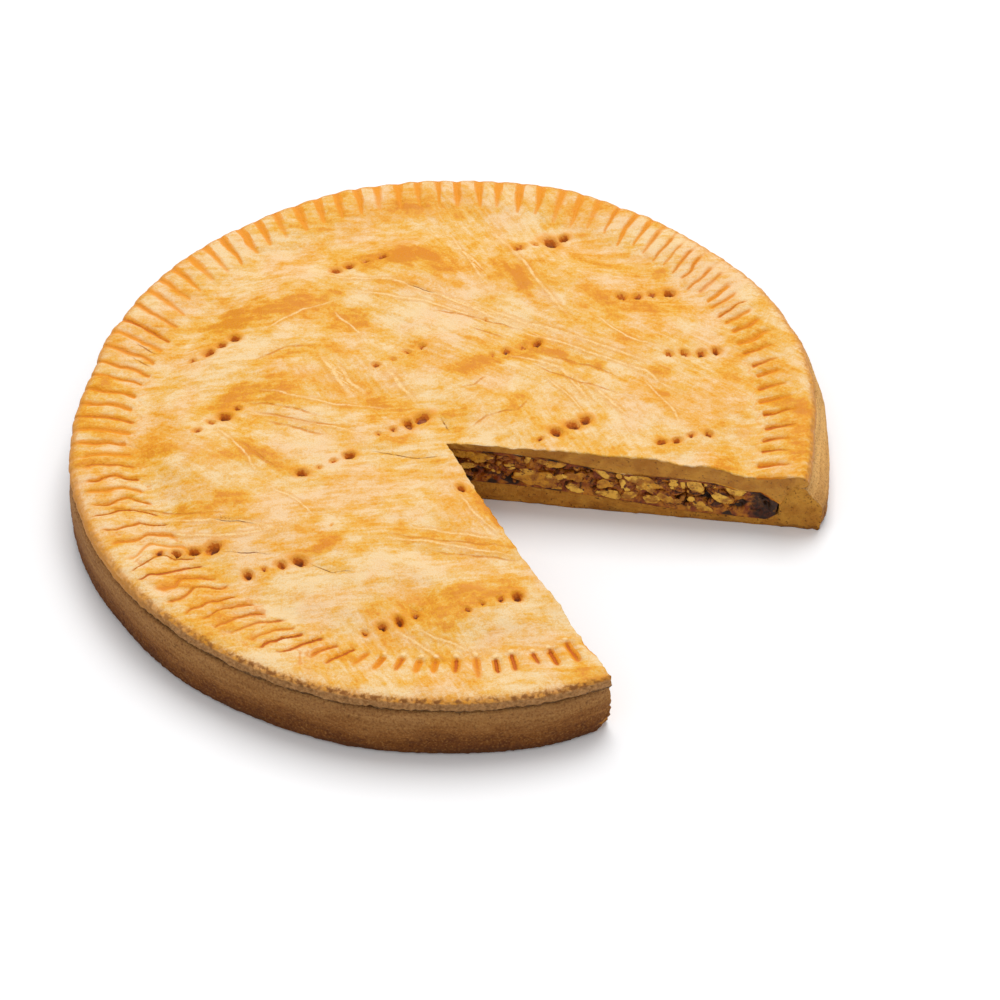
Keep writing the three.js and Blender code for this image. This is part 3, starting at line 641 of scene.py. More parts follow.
# %% [markdown]
# ## The lid
# The lid's section is a chain: out along the top, round the rim, and back along the underside, where it
# follows the filling down and then sits on the shell's wall. All the relief moves a point along the
# section's own normal, so a fork mark that runs over the edge also bites into the side. The two cut faces
# of the lid get the open crumb of a baked dough.

# %% The lid's section
TOP_ROWS = [(0, INNER_RING, 22), (INNER_RING, 94, 83), (94, 112, 24)]  # from ring to ring, and how many rows
EDGE_ROWS = 23
UNDER_RINGS = [0, 4.7, 9.5, 15, 25, 33, 41, 49, 57, 64, 71, 78, 85, 92, 99, 105, 109, 112, 115, 117.6]


def with_normals(ring, height):
    """A chain with the outward normal of its line, (-dz, dr) / length, and a one: its relief counts in
    full."""
    run, rise = np.gradient(ring), np.gradient(height)
    length = np.hypot(run, rise)
    return np.stack([ring, height, -rise / length, run / length, np.ones_like(ring)], 1)


top_rings = np.concatenate([[0]] + [np.linspace(start, end, rows + 1)[1:] for start, end, rows in TOP_ROWS])
edge_line = np.column_stack([way_along(LID_EDGE_LINE), LID_EDGE_LINE])
edge_at = np.linspace(0, edge_line[-1, 0], EDGE_ROWS + 1)[1:]
lid_ring = np.concatenate([top_rings, curve(edge_line[:, :2], edge_at)])
lid_height = np.concatenate([curve(LID_TOP, top_rings), curve(edge_line[:, ::2], edge_at)])
lid_upper = with_normals(lid_ring, lid_height)
under_ring = np.array(UNDER_RINGS)
lid_lower = np.stack([under_ring, between(LID_UNDER, under_ring), *np.zeros((3, len(under_ring)))], 1)
lid_lower[-1] = lid_upper[-1]
print(len(lid_upper), "rows on top,", len(lid_lower), "under it")

# %% The lid's points
few, many = len(lid_lower) - 1, len(lid_upper) - 1
face_steps = [few, 2 * few, 4 * few] + [many] * 8
fields, share, on_cut, lid_faces = solid(
    lid_upper, steps_of(lid_ring, 0.42), lid_lower, steps_of(under_ring, 2.2, 1), face_steps
)
ring, height, normal_r, normal_z, thick = fields
x, y = on_ray(ring, share)
degrees = np.degrees(np.arctan2(y, x))
reach = edge_shift(degrees) + 0.15 * np.sin(np.radians(9 * degrees)) - 0.1
x, y = on_ray(ring + reach * ease((ring - EDGE_FROM) / (LID_R - EDGE_FROM)), share)

# %% The lid's relief
mark_relief, mark_fields = fork_marks(x, y)
prick_relief, prick_fields = pricks(x, y)
pale_height, pale_fields = lines("pale", x, y)
dark_height, dark_fields = lines("dark", x, y)
streaks = brushed(x, y)
wash = 0.4 * rough(x, 1.6 * y, 17, 61, 4) + 0.35 * rough(x, 1.3 * y, 6, 67, 3) + 0.18 * streaks
wash = wash + blots(STROKES, x, y)
tanned = blots(TANNED, x, y) + 0.15 * rough(x, y, 8, 71, 3)
folds = 0.3 * np.sin((y + 0.12 * x) * 0.55 + 2 * rough(x, y, 18, 73))
folds = folds * np.exp(-(((y + 54) / 9) ** 2) - (x / 34) ** 2)
skin = 0.2 * rough(x, y, 6, 81, 3) + 0.07 * rough(x, y, 1.8, 83, 2) + 0.1 * streaks
below = np.where((ring > 113) & (thick > 0.5), 20.9 - height, -9)
edge_darkness = between(EDGE_BROWN, turned(degrees % 360))
crumbly = 0.5 * rough(x * 1.4 + 9 * height, y * 1.4 - 7 * height, 1.8, 85, 3)
crumbly = crumbly * ease(below / 1.5 + 0.3) * edge_darkness
crumpled = ease((ring - 90) / 7) * ease((116 - ring) / 5) * between(CRUMPLED, turned(degrees % 360))
crease = np.clip(1 - np.abs(rough(0.6 * x, y, 4.4, 89, 2)) / 0.15, 0, 1) * crumpled
relief = folds + skin + crumbly - 0.3 * crease + 0.6 * pale_height + dark_height + 0.7 * mark_relief
relief = relief + prick_relief * (ring < 100)
x, y = moved(x, y, np.degrees(np.arctan2(y, x)), relief * normal_r * thick)
z = pressed(height + (relief * normal_z + lift(x, y)) * thick, SOFT_TOP)
print("lid from", round(z.min(), 2), "to", round(z.max(), 2), "mm high")


# %% The cut faces' crumb
TORN = 0.35  # how far the crumb tears


def torn_faces(x, y, z):
    """The two cut faces and the edges beside them as torn dough: every point within 2.5 mm of a face
    moves square to it by a rough amount, and not at all where the faces meet. The outermost crumbs stay
    in the tin."""
    out = np.hypot(x - CUT_POINT[0], y - CUT_POINT[1])
    for angle, side in ((FIRST_FACE, 1), (SECOND_FACE, -1)):
        along, left = rotated(x - CUT_POINT[0], y - CUT_POINT[1], angle)
        inside = np.abs(side * left + (curve(CUT_BOW, along) if side < 0 else 0))
        amount = TORN * (0.6 + rough(along, 1.5 * z, 1.9, 91, 3)) * ease(1 - inside / 2.5)
        x, y = moved(x, y, angle + 90, side * amount * (along > 0) * ease(out / 5))
    return -pressed(-pressed(x, RIGHT_END), LEFT_END), -pressed(-y, FRONT_END)


x, y = torn_faces(x, y, z)
lid = make_piece("lid_dough", np.stack([x, y, z], 1), lid_faces, {
    "wash": np.clip(wash, -1, 2), "tanned": np.clip(tanned, 0, 1), "crease": crease, "below": below,
    "edge_brown": edge_darkness, "cut_face": on_cut * (thick < 0.97), **mark_fields, **prick_fields, **pale_fields,
    **dark_fields, **dict(zip(("brush_a", "brush_b", "brush_c"), brush_shares(x, y))),
})

# %% [markdown]
# ## The shell
# The shell is swept like the lid: out over its floor and up the inside of the wall, across the wall's
# top, down the outside and back underneath. Beside the first cut face the wall leans in to meet the lid.
# The tin leaves the wall fairly smooth near the top and sandy lower down. Where the second cut leaves the
# wall a lump has broken out of its foot: every point inside a rough ball there is moved inwards until it
# lies on the ball.

# %% The shell's section
WALL_ROWS = 46
shell_ring = np.concatenate([
    np.linspace(0, 98, 39),
    [100, 101.5, 103, 104, 104.6, 104.7, 104.8, 105.4, 106, 106.7, 107.4, 108.1, 108.8],
    np.linspace(108.8, WALL[-1][1], 14)[1:],
])
wall_height = np.linspace(WALL_HEIGHT, 0, WALL_ROWS + 1)
wall_ring = curve(WALL, wall_height)
under_ring = shell_ring[::2] * wall_ring[-1] / shell_ring[-1]
shell_upper = with_normals(shell_ring, between(SHELL_FLOOR, shell_ring))
shell_wall = with_normals(wall_ring, wall_height)
shell_lower = under_ring[:, None] * [1, 0, 0, 0, 0] + [0, 0, 0, -1, 0]
shell_upper[-1] = shell_wall[0] = (shell_upper[-1] + shell_wall[0]) / 2
shell_lower[-1] = shell_wall[-1] = (shell_lower[-1] + shell_wall[-1]) / 2


def with_path(chain, start, direction):
    """The chain with the way passed along it, so that grain isn't stretched where it turns over an edge."""
    return np.column_stack([chain, start + direction * way_along(chain[:, :2])])


shell_wall = with_path(shell_wall, 0, 1)
shell_upper = with_path(shell_upper[::-1], 0, -1)[::-1]
shell_lower = with_path(shell_lower[::-1], shell_wall[-1, 5], 1)[::-1]
print(len(shell_ring), "rows inside,", WALL_ROWS, "up the wall")

# %% The shell's points
fields, share, on_cut, shell_faces = solid(
    shell_upper, steps_of(shell_ring, 3, 3), shell_lower, steps_of(under_ring, 3, 1),
    [32, 64, 128] + [256] * (WALL_ROWS - 4) + [128, 64], shell_wall
)
ring, height, normal_r, normal_z, thick, path = fields
x, y = on_ray(ring, share)
degrees = np.degrees(np.arctan2(y, x))
around = np.radians(degrees) * TART_R
outer = ease((ring - 106) / 8)
wander = 0.25 * np.sin(np.radians(5 * degrees + 40)) + 0.2 * np.sin(np.radians(13 * degrees)) - 0.35
shift = edge_shift(degrees)
follow = np.where(shift < 0, ease((height - LEAN_FROM) / LEAN_RISE), WALL_FOLLOWS)
drawn_in = between(WALL_IN, turned(degrees % 360), True)
x, y = on_ray(ring + outer * (wander + shift * follow - drawn_in), share)
sandy = ease((11 - height) / 8)
grit = rough(around, path, 1.3, 97, 3)
bumps = 0.12 * rough(around, path, 9, 101, 2) + 0.08 * grit + 0.14 * sandy * grit
relief = outer * bumps * ease((ring - 112) / 4)
x, y = moved(x, y, degrees, relief * np.abs(normal_r))

# %% The broken foot
CHIP, CHIP_R = (51.2, -111.6, -1.2), 7.6  # outside of the dough, which is pushed straight away from it
chip_r = CHIP_R + 0.9 * rough(x + 3 * height, y, 3, 103, 2)
beside = np.stack([x, y, height]) - np.array(CHIP)[:, None]
away = np.sqrt((beside**2).sum(0))
broken = away < chip_r
x, y, z = np.array(CHIP)[:, None] + beside * np.where(broken, chip_r / away, 1)
print("the broken foot moves", int(broken.sum()), "points")

# %% The shell's cut faces
x, y = torn_faces(x, y, z)
# Round the right-hand side the wall is paler, fading out within about 34 degrees either way.
pale_right_side = ease(1 - np.abs(turned(degrees % 360) - 2) / 34)
shell = make_piece("shell_dough", np.stack([x, y, z], 1), shell_faces, {
    "cut_face": on_cut, "broken": broken.astype(float), "pale_right_side": pale_right_side,
})

# %% [markdown]
# ## The filling
# The filling is made in two steps, as it cooks: first the caramel, a layer between the two doughs whose
# cut faces are torn back behind the knife's plane into pockets that are painted nearly black as shade; then
# the walnut pieces that stick in it. The knife goes through some pieces and leaves them flat and pale, and
# pushes others in or out.

# %% The caramel layer
FILLING_TOP = [[r, h + 0.1] for r, h in LID_UNDER[:6]] + [[104.4, 9.7]]
FILLING_UNDER = [[max(0, r - 0.2), h + 0.1] for r, h in SHELL_FLOOR[:5]] + [[104.4, 5.5]]
FILL_RINGS = [*np.linspace(0, 98.8, 29), 100.8, 102.6, 103.6, 104.4]
fill_upper = np.stack([FILL_RINGS, between(FILLING_TOP, FILL_RINGS), np.ones(len(FILL_RINGS))], 1)
fill_lower = np.stack([FILL_RINGS, between(FILLING_UNDER, FILL_RINGS), np.zeros(len(FILL_RINGS))], 1)
fill_lower[-1, :2] = fill_upper[-1, :2]
fill_steps = steps_of(FILL_RINGS, 4)
fields, share, on_cut, fill_faces = solid(
    fill_upper, fill_steps, fill_lower, fill_steps, [32, 64, 128] + [256] * 31 + [128, 64, 32]
)
ring, height, thick = fields
x, y = on_ray(ring, share)
along_cut = np.hypot(x - CUT_POINT[0], y - CUT_POINT[1])
window = on_cut * ease(5 * thick * (1 - thick)) * ease((102.5 - ring) / 2) * ease(ring / 4)
shaded_pocket = np.clip(rough(along_cut, 1.3 * height, 3.4, 111, 2) + 0.1, 0, 1)
torn = window * (1 + 0.5 * rough(along_cut, height, 1.7, 113, 3) + 2.2 * shaded_pocket)
x, y = moved(x, y, np.where(share < 0.5, FIRST_FACE + 90, SECOND_FACE - 90), torn)
caramel = make_piece("nut_caramel", np.stack([x, y, height], 1), fill_faces, {
    "shaded_pocket": np.clip(shaded_pocket * 1.8 + 0.6 * ease((ring - 93) / 5), 0, 1) * on_cut,
})

# %% [markdown]
# ## Walnut pieces
# A broken walnut half is a lumpy, lobed thing with furrows. As a surface it is a ball whose radius is 1
# plus a few random waves of the direction, with the furrows as the sharp valleys of an absolute sine. It
# is stretched to its size, turned, and set at a depth near the knife's plane; whatever would stand out of
# the plane is pressed back onto it. All pieces are computed at once, as one array of pieces by rings by
# columns.

# %% Walnut pieces
def ball_grid(rings, columns):
    """Unit directions on a closed grid of a ball, and its triangles."""
    polar = np.linspace(0, np.pi, rings + 1)
    steps = [0] + [columns] * (rings - 1) + [0]
    directions = []
    for angle, n in zip(polar, steps):
        turn = np.linspace(0, 2 * np.pi, n + 1) if n else np.zeros(1)
        directions.append(np.stack([np.sin(angle) * np.cos(turn), np.sin(angle) * np.sin(turn),
                                    np.cos(angle) + 0 * turn], 1))
    return np.concatenate(directions), join_rows(steps)


def turn_matrices(tilts, axis):
    """One rotation matrix about an axis for each angle."""
    c, s = np.cos(tilts), np.sin(tilts)
    made = np.zeros((len(tilts), 3, 3))
    i, j = [(1, 2), (2, 0), (0, 1)][axis]
    made[:, i, i], made[:, j, j], made[:, axis, axis] = c, c, 1
    made[:, i, j], made[:, j, i] = -s, s
    return made


def nut_pieces(name, places, sizes, grid, seed, cut_depth):
    """Lobed pieces at (share, distance along the cut, height), with half sizes along, deep and high."""
    random = np.random.default_rng(seed)
    count = len(places)
    directions, faces = ball_grid(*grid)
    waves = random.normal(0, 2.1, (count, 4, 3))
    phases = random.uniform(0, 6.28, (count, 4, 1))
    lobes = np.einsum("cwk,nk->cwn", waves, directions) + phases
    valleys = [(1 - np.abs(np.sin(lobes[:, 2]))) ** 3, (1 - np.abs(np.sin(1.3 * lobes[:, 3]))) ** 3]
    radius = 1 + 0.15 * np.sin(lobes[:, 0]) + 0.12 * np.sin(lobes[:, 1])
    radius = radius - 0.16 * valleys[0] - 0.12 * valleys[1]
    turn = turn_matrices(random.uniform(-0.9, 0.9, count), 1)
    turn = turn @ turn_matrices(random.uniform(-0.6, 0.6, count), 2)
    moved = np.einsum("cij,cnj->cni", turn, directions[None] * radius[..., None] * sizes[:, None, :])
    share, along, high = places.T[..., None]
    s, z = along + moved[..., 0], high + moved[..., 2]
    q = random.uniform(*cut_depth, count)[:, None] + moved[..., 1]
    flat = 0.12 + 0.18 * rough(s, z, 2.4, seed + 1, 2)
    cut = ease((flat + 0.15 - q) / 0.3)
    q = np.maximum(q, flat)
    second = share > 0.5
    angle = np.radians(np.where(second, SECOND_FACE, FIRST_FACE))
    q = np.where(second, curve(CUT_BOW, s) - q, q)  # both faces' left is the side of growing angle
    x = CUT_POINT[0] + s * np.cos(angle) - q * np.sin(angle)
    y = CUT_POINT[1] + s * np.sin(angle) + q * np.cos(angle)
    r = np.hypot(x, y)
    z = np.clip(z, between(FILLING_UNDER, r) + 0.15, between(FILLING_TOP, r) - 0.15)
    tone = np.repeat(random.uniform(0, 1, count), len(directions))
    all_faces = faces + (np.arange(count) * len(directions))[:, None, None]
    all_faces[second[:, 0]] = all_faces[second[:, 0]][..., ::-1]
    return make_piece(name, np.stack([x, y, z], -1).reshape(-1, 3), all_faces.reshape(-1, 3), {
        "cut_meat": cut.ravel(), "tone": tone, "furrow_shade": np.clip(sum(valleys), 0, 1).ravel(),
    })


def rows_along(spacing, rise, seed, wobble):
    """Places for pieces on both cut faces: columns a spacing apart, and in each as many rows as the
    filling is high there for that rise, shifted by half a row from column to column."""
    random = np.random.default_rng(seed)
    places = []
    for share in (0.0, 1.0):
        for k, along in enumerate(np.arange(4.5, 92, spacing)):
            low, high = between(FILLING_UNDER, along), between(FILLING_TOP, along)
            rows = max(1, round((high - low) / rise))
            level = (np.arange(rows) + 0.5 + 0.25 * (k % 2) - 0.12) / rows
            at = along + random.normal(0, wobble, rows)
            level = np.clip(level + random.normal(0, 0.05, rows), 0.08, 0.94)
            places.append(np.stack([np.full(rows, share), at, low + (high - low) * level], 1))
    return np.concatenate(places)


pick = np.random.default_rng(201)
big_places = rows_along(7.4, 4.4, 203, 1.3)
big_sizes = np.stack([pick.uniform(3.2, 7.0, len(big_places)), pick.uniform(2.2, 3.6, len(big_places)),
                      pick.uniform(1.9, 3.3, len(big_places))], 1)
walnuts = nut_pieces("walnut_pieces", big_places, big_sizes, (20, 28), 211, (1.0, 4.0))
small_places = rows_along(4.4, 3.6, 205, 1.3)
small_sizes = pick.uniform(0.6, 1.3, (len(small_places), 1)) * pick.uniform(0.8, 1.4, (len(small_places), 3))
walnut_bits = nut_pieces("walnut_bits", small_places, small_sizes, (8, 10), 223, (0.4, 1.8))

# %% [markdown]
# ## Mixing finishes
# A finish is a graph of nodes. To keep it readable, each number in it can be added, multiplied, eased
# onto a range, shaken by a noise or used to blend two colours, and the finish is built like the real one:
# a first colour and then coats. Colours are written as they would look on a screen, from 0 to 255, and
# turned into the linear light that the shader wants.

# %% Numbers of a finish
def add(tree, kind, inputs=None, output=0, **settings):
    """One output of a new node of a kind, with settings, and with each input set to a value or linked to
    a number."""
    node = tree.nodes.new("ShaderNode" + kind)
    for key, value in settings.items():
        setattr(node, key, value)
    for key, value in (inputs or {}).items():
        if isinstance(value, Number):
            tree.links.new(value.socket, node.inputs[key])
        else:
            node.inputs[key].default_value = value
    return Number(node.outputs[output]) if node.outputs else node


def screen(colour):
    """Three screen numbers as linear light. A colour that nodes work out stays as it is."""
    if isinstance(colour, Number):
        return colour
    c = np.array(colour) / 255
    return (*np.where(c <= 0.04045, c / 12.92, ((c + 0.055) / 1.055) ** 2.4).tolist(), 1.0)


class Number:
    """A number or a colour that differs from place to place: an output of one of the finish's nodes."""

    def __init__(self, socket):
        self.socket, self.tree = socket, socket.id_data

    def math(self, how, other=0.0):
        """One sum with another number."""
        return add(self.tree, "Math", {0: self, 1: other}, operation=how)

    __add__, __sub__ = partialmethod(math, "ADD"), partialmethod(math, "SUBTRACT")
    __mul__, __truediv__ = partialmethod(math, "MULTIPLY"), partialmethod(math, "DIVIDE")

    def ramp(self, low, high, out_low=0.0, out_high=1.0):
        """Its range from low to high, eased onto another range."""
        return add(self.tree, "MapRange", {0: self, 1: low, 2: high, 3: out_low, 4: out_high},
                   interpolation_type="SMOOTHSTEP")

    def shaken(self, noise, amount):
        """The number plus amount times (noise - 0.5)."""
        return self + (noise - 0.5) * amount

    def blend(self, a, b, how="MIX"):
        """Colour a turned into colour b as far as the number says."""
        inputs = {0: self, 6: screen(a), 7: screen(b)}
        return add(self.tree, "Mix", inputs, 2, data_type="RGBA", blend_type=how)

    def tones(self, stops):
        """The number turned into a colour by straight blends between [number, red, green, blue] stops."""
        low, high = stops[0][0], stops[-1][0]
        colour = add(self.tree, "ValToRGB", {0: add(self.tree, "MapRange", {0: self, 1: low, 2: high})})
        steps = colour.socket.node.color_ramp.elements
        for extra in stops[2:]:
            steps.new(0.5)
        for step, (at, *shade) in zip(steps, stops):
            step.position, step.color = (at - low) / (high - low), screen(shade)
        return colour


# %% Finishes
class Finish:
    """A material as it is mixed: a colour, which each coat changes."""

    def __init__(self, name):
        self.material = bpy.data.materials.new(name)
        self.material.use_nodes = True
        self.tree = self.material.node_tree
        self.tree.nodes.clear()

    def field(self, name):
        """A number stored on the mesh."""
        return add(self.tree, "Attribute", output="Fac", attribute_name=name)

    def place(self):
        """The place in the object's own coordinates."""
        return add(self.tree, "TexCoord", output="Object")

    def specks(self, size_mm, detail=2, stretch=(1, 1, 1), turn=0):
        """Soft noise whose spots are about that many millimetres wide times the stretch, turned by some
        degrees about the upright axis."""
        place = {"Vector": self.place(), "Rotation": (0, 0, np.radians(turn)), "Scale": stretch}
        place = add(self.tree, "Mapping", place, vector_type="TEXTURE")
        inputs = {"Vector": place, "Scale": 1 / (size_mm * MM), "Detail": detail}
        return add(self.tree, "TexNoise", inputs, "Fac")

    def coat(self, factor, colour, how="MIX"):
        """Another colour over the colour so far, as far as the factor says."""
        self.colour = factor.blend(self.colour, colour, how)

    def lay_on(self, pieces, roughness, specular, height_mm=None):
        """The finished shader, with its relief in millimetres, put on the pieces."""
        inputs = {"Base Color": screen(self.colour), "Roughness": roughness, "Specular IOR Level": specular}
        if height_mm:
            inputs["Normal"] = add(self.tree, "Bump", {"Strength": 1, "Distance": MM, "Height": height_mm})
        add(self.tree, "OutputMaterial", {"Surface": add(self.tree, "BsdfPrincipled", inputs)})
        for piece in pieces:
            piece.data.materials.append(self.material)
        print(self.material.name, "has", len(self.tree.nodes), "nodes")


# %% [markdown]
# ## The brushed lid
# Pale baked dough comes first. The egg wash is laid over it as a deep yellow that follows the strokes
# stored on the mesh, broken up by fine streaks. Browning, the fork's grooves, the prick holes, scratches
# and cracks follow, each with its own colour. The bottoms of the prick holes and a line along the foot of
# the lid's side are painted shade, and the raised inner ends of some fork marks carry a painted glint.
# Washed places are smoother than dry ones, so the roughness follows the wash.

# %% The brushed lid's finish: egg wash
lid_finish = Finish("brushed_lid")
specks, field, coat = lid_finish.specks, lid_finish.field, lid_finish.coat
grain, fine, mottle = specks(0.9, 3), specks(0.4), specks(2.4, 3, (1.4, 1, 1), 20)
patches = specks(7, 4, (1, 0.7, 1))
ways = []
for way, turn in zip("abc", BRUSH_TURNS):
    ways.append((specks(1.5, 2, (6, 1, 1), turn) - 0.5) * field("brush_" + way))
streaks = ways[0] + ways[1] + ways[2]
wash = field("wash").shaken(patches, 1.5) + streaks * 1.9
wash = wash.shaken(mottle, 1.3).shaken(grain, 1.3).shaken(fine, 0.6)
lid_finish.colour = wash.tones([
    [-0.55, 228, 200, 153], [-0.22, 226, 192, 135], [-0.05, 224, 185, 121], [0.16, 223, 178, 101],
    [0.39, 222, 171, 76], [0.6, 221, 162, 47], [0.75, 219, 153, 28], [1.15, 209, 134, 8],
])
coat(specks(17).ramp(0.42, 0.62, 0, 0.6), [255, 243, 246], "MULTIPLY")
tan = field("tanned") * patches.ramp(0.3, 0.6, 0.5, 1)
coat(tan.shaken(mottle, 0.8).ramp(0.2, 1.1, 0, 0.45), [220, 152, 70])


# %% The brushed lid's finish: scratches and cracks
def fine_line(name):
    """How far from the nearest line of a kind, in half widths: the signed distance, which is exact on the
    line, or past the line's ends the plain distance, which is a little blunt."""
    away = field(name + "_side").math("ABSOLUTE").math("MAXIMUM", field(name + "_away") - 0.8)
    return (away / field(name + "_wide")).shaken(grain, 0.7)


breaks = specks(2.6)
beside = (field("pale_away") / field("pale_wide")).shaken(breaks, 2).ramp(2.8, 1.2, 0, 0.4)
coat(beside * field("pale"), [212, 146, 48])
pale_line = fine_line("pale").shaken(fine, 0.9).ramp(1, 0.1, 0, 0.75) * field("pale")
coat(pale_line * breaks.ramp(0.38, 0.54, 0.45), [236, 206, 150])
dark_line = fine_line("dark").ramp(1, 0.25, 0, 0.85) * field("dark") * breaks.ramp(0.36, 0.54, 0.4)
coat(dark_line, field("dark_wide").ramp(0.4, 0.32).blend([206, 128, 28], [134, 70, 20]))

# %% The brushed lid's finish: fork marks and pricks
across = field("mark_sine").math("ABSOLUTE") / field("mark_wide") + field("mark_cosine").ramp(0.2, -0.2, 0, 3)
across = across.shaken(grain, 0.7)
stain = (across.shaken(mottle, 0.9).ramp(1.8, 0.3) * field("stain")).math("MAXIMUM", field("curl") * 0.7)
core = across.ramp(0.85, 0.1) * field("mark")
coat(stain.ramp(0.05, 0.95, 0, 0.95), [225, 144, 16])
coat(field("crease").shaken(grain, 0.8).ramp(0.35, 1, 0, 0.6), [214, 134, 26])
coat(core.ramp(0.1, 0.9, 0, 0.9), [186, 86, 20])
# Painted highlight: a pale glint on the raised dab at a mark's inner end.
coat(field("dab").ramp(0.3, 0.8, 0, 0.8), [240, 212, 160])
away = field("hole_away").shaken(grain, 0.9)
coat(away.shaken(mottle, 1.5).ramp(1.4, 0.1, 0, 0.8), [222, 148, 30])
coat(away.ramp(0, -0.25, 0, 0.95), [196, 108, 18])
# Painted shade: the bottom of each prick hole, darkest towards its front where it is dug deepest.
coat(away.ramp(-0.25, -0.55) * (field("hole_behind").ramp(0.5, -0.1) * 0.6 + 0.35), [100, 43, 9])

# %% The brushed lid's finish: edge, crumb and grain
brown = field("edge_brown")
below = field("below").shaken(grain, 0.9).shaken(patches, 0.5)
coat(below.ramp(-0.9, -0.1, 0, 0.7), [208, 138, 46])
coat(below.ramp(-0.6, -0.1) * specks(1.9, 3).ramp(0.38, 0.62) * brown, [136, 86, 36])
crumbs = grain.ramp(0.35, 0.65).blend([150, 106, 60], [178, 132, 82])
coat(below.ramp(0.35, 0.8), brown.ramp(0.3, 0.8).blend([196, 134, 54], crumbs))
# Painted shade: a dark line along the foot of the lid's side, in the crease where it meets the wall.
coat(below.ramp(2.5, 3) * brown.ramp(0.2, 0.6, 0.25, 0.9), [84, 56, 22])


def crumb(finish, grain):
    """The inside of the dough: two yellows in soft patches, with small dark pores."""
    body = finish.specks(5, 3).ramp(0.35, 0.65).blend([194, 138, 52], [172, 114, 38])
    return grain.ramp(0.6, 0.72, 0, 0.7).blend(body, [92, 48, 16])


coat(field("cut_face").ramp(0.4, 0.6), crumb(lid_finish, grain))
coat(fine.ramp(0.35, 0.7, 0, 0.35), [255, 214, 130], "MULTIPLY")
relief_mm = grain * 0.22 + fine * 0.1 - core * 0.3 - dark_line * 0.15 + streaks * 0.15
lid_finish.lay_on([lid], wash.ramp(0, 1.2, 0.6, 0.4), 0.2, relief_mm)

# %% [markdown]
# ## The sandy shell
# Baked shortcrust is matt and sandy. Near the top the wall stays pale, and round the right-hand side it is
# paler all the way down. Lower down it browns against the tin, and it is darker still in its lowest two
# millimetres; its pores are nearly black. The cut faces show the paler inside of the dough.

# %% The sandy shell's finish
shell_finish = Finish("sandy_shell")
specks, field, coat = shell_finish.specks, shell_finish.field, shell_finish.coat
grain, fine, sand = specks(0.9, 4), specks(0.35, 3), specks(0.7)
up = add(shell_finish.tree, "SeparateXYZ", {0: shell_finish.place()}, "Z") * (1 / MM)
up = up.shaken(specks(7, 3, (2, 2, 0.7)), 9).shaken(grain, 2.5)
khaki = [
    [0, 90, 52, 18], [3, 110, 63, 21], [6, 120, 72, 25], [9.5, 140, 91, 41], [13, 157, 111, 60],
    [17, 164, 119, 70],
]
fair = [[0, 168, 106, 44], [5, 196, 138, 66], [10, 218, 168, 96], [17, 226, 180, 110]]
shell_finish.colour = field("pale_right_side").blend(up.tones(khaki), up.tones(fair))
coat(specks(1.3, 2, (16, 16, 1)).ramp(0.42, 0.62, 0, 0.45), [214, 200, 186], "MULTIPLY")
coat(specks(2.8, 4).ramp(0.46, 0.64, 0, 0.6) * up.ramp(11, 5), [92, 48, 16])
coat(sand.ramp(0.5, 0.68, 0, 0.5), [184, 154, 116], "MULTIPLY")
coat(sand.ramp(0.46, 0.3, 0, 0.2), [206, 156, 90])
# Darker still over the lowest two millimetres of the wall.
coat(up.ramp(2.2, 0.4, 0, 0.8), [78, 44, 20])
coat(field("cut_face").ramp(0.4, 0.6), crumb(shell_finish, grain))
coat(field("broken").ramp(0.4, 0.6, 0, 0.8), crumb(shell_finish, grain))
# And darker again at the very foot.
coat(up.ramp(1.4, 0, 0, 0.5), [110, 62, 26])
coat(grain.ramp(0.57, 0.72, 0, 0.5), [76, 42, 16])
coat(fine.ramp(0.35, 0.7, 0, 0.3), [255, 216, 150], "MULTIPLY")
shell_finish.lay_on([shell], 0.85, 0.2, grain * 0.4 + fine * 0.2 - sand * 0.3)

# %% [markdown]
# ## Caramel and walnuts
# Caramel is dark amber and glossy, with its torn pockets painted nearly black as shade. A walnut piece is
# pale gold inside and has a red-brown skin, with painted shade darkening its furrows.

# %% The caramel's finish
caramel_finish = Finish("dark_caramel")
grain = caramel_finish.specks(1.1, 4)
caramel_finish.colour = caramel_finish.specks(3.5, 3).ramp(0.4, 0.62).blend([132, 58, 8], [184, 112, 14])
caramel_finish.coat(grain.ramp(0.52, 0.7, 0, 0.8), [88, 30, 4])
# Painted shade: the torn-back pockets of the cut face go nearly black; towards the rim the caramel is darker
# too.
caramel_finish.coat(caramel_finish.field("shaded_pocket").shaken(grain, 0.6).ramp(0.15, 0.7, 0, 0.95), [34, 14, 4])
caramel_finish.lay_on([caramel], 0.45, 0.3, grain * 0.5)

# %% The walnuts' finish
nut_finish = Finish("walnut_meat_and_skin")
grain = nut_finish.specks(0.9, 4)
meat = nut_finish.field("tone").blend([200, 132, 16], [240, 186, 70])
meat = nut_finish.specks(3, 3).ramp(0.42, 0.62, 0, 0.85).blend(meat, [152, 86, 6])
peel = grain.ramp(0.35, 0.7).blend([116, 46, 4], [190, 114, 14])
# Painted shade: the skin darkens to near black down in its furrows.
peel = nut_finish.field("furrow_shade").ramp(0.2, 0.9, 0, 0.85).blend(peel, [44, 17, 4])
nut_finish.colour = nut_finish.field("cut_meat").shaken(grain, 0.6).ramp(0.35, 0.65).blend(peel, meat)
nut_finish.coat(grain.ramp(0.56, 0.72, 0, 0.7), [90, 36, 6])
nut_finish.lay_on([walnuts, walnut_bits], 0.5, 0.3, grain * 0.35)

# %% [markdown]
# ## Riding and replacing
# Each finished piece rides on the model's one body, and the plain solid that it replaces is hidden.

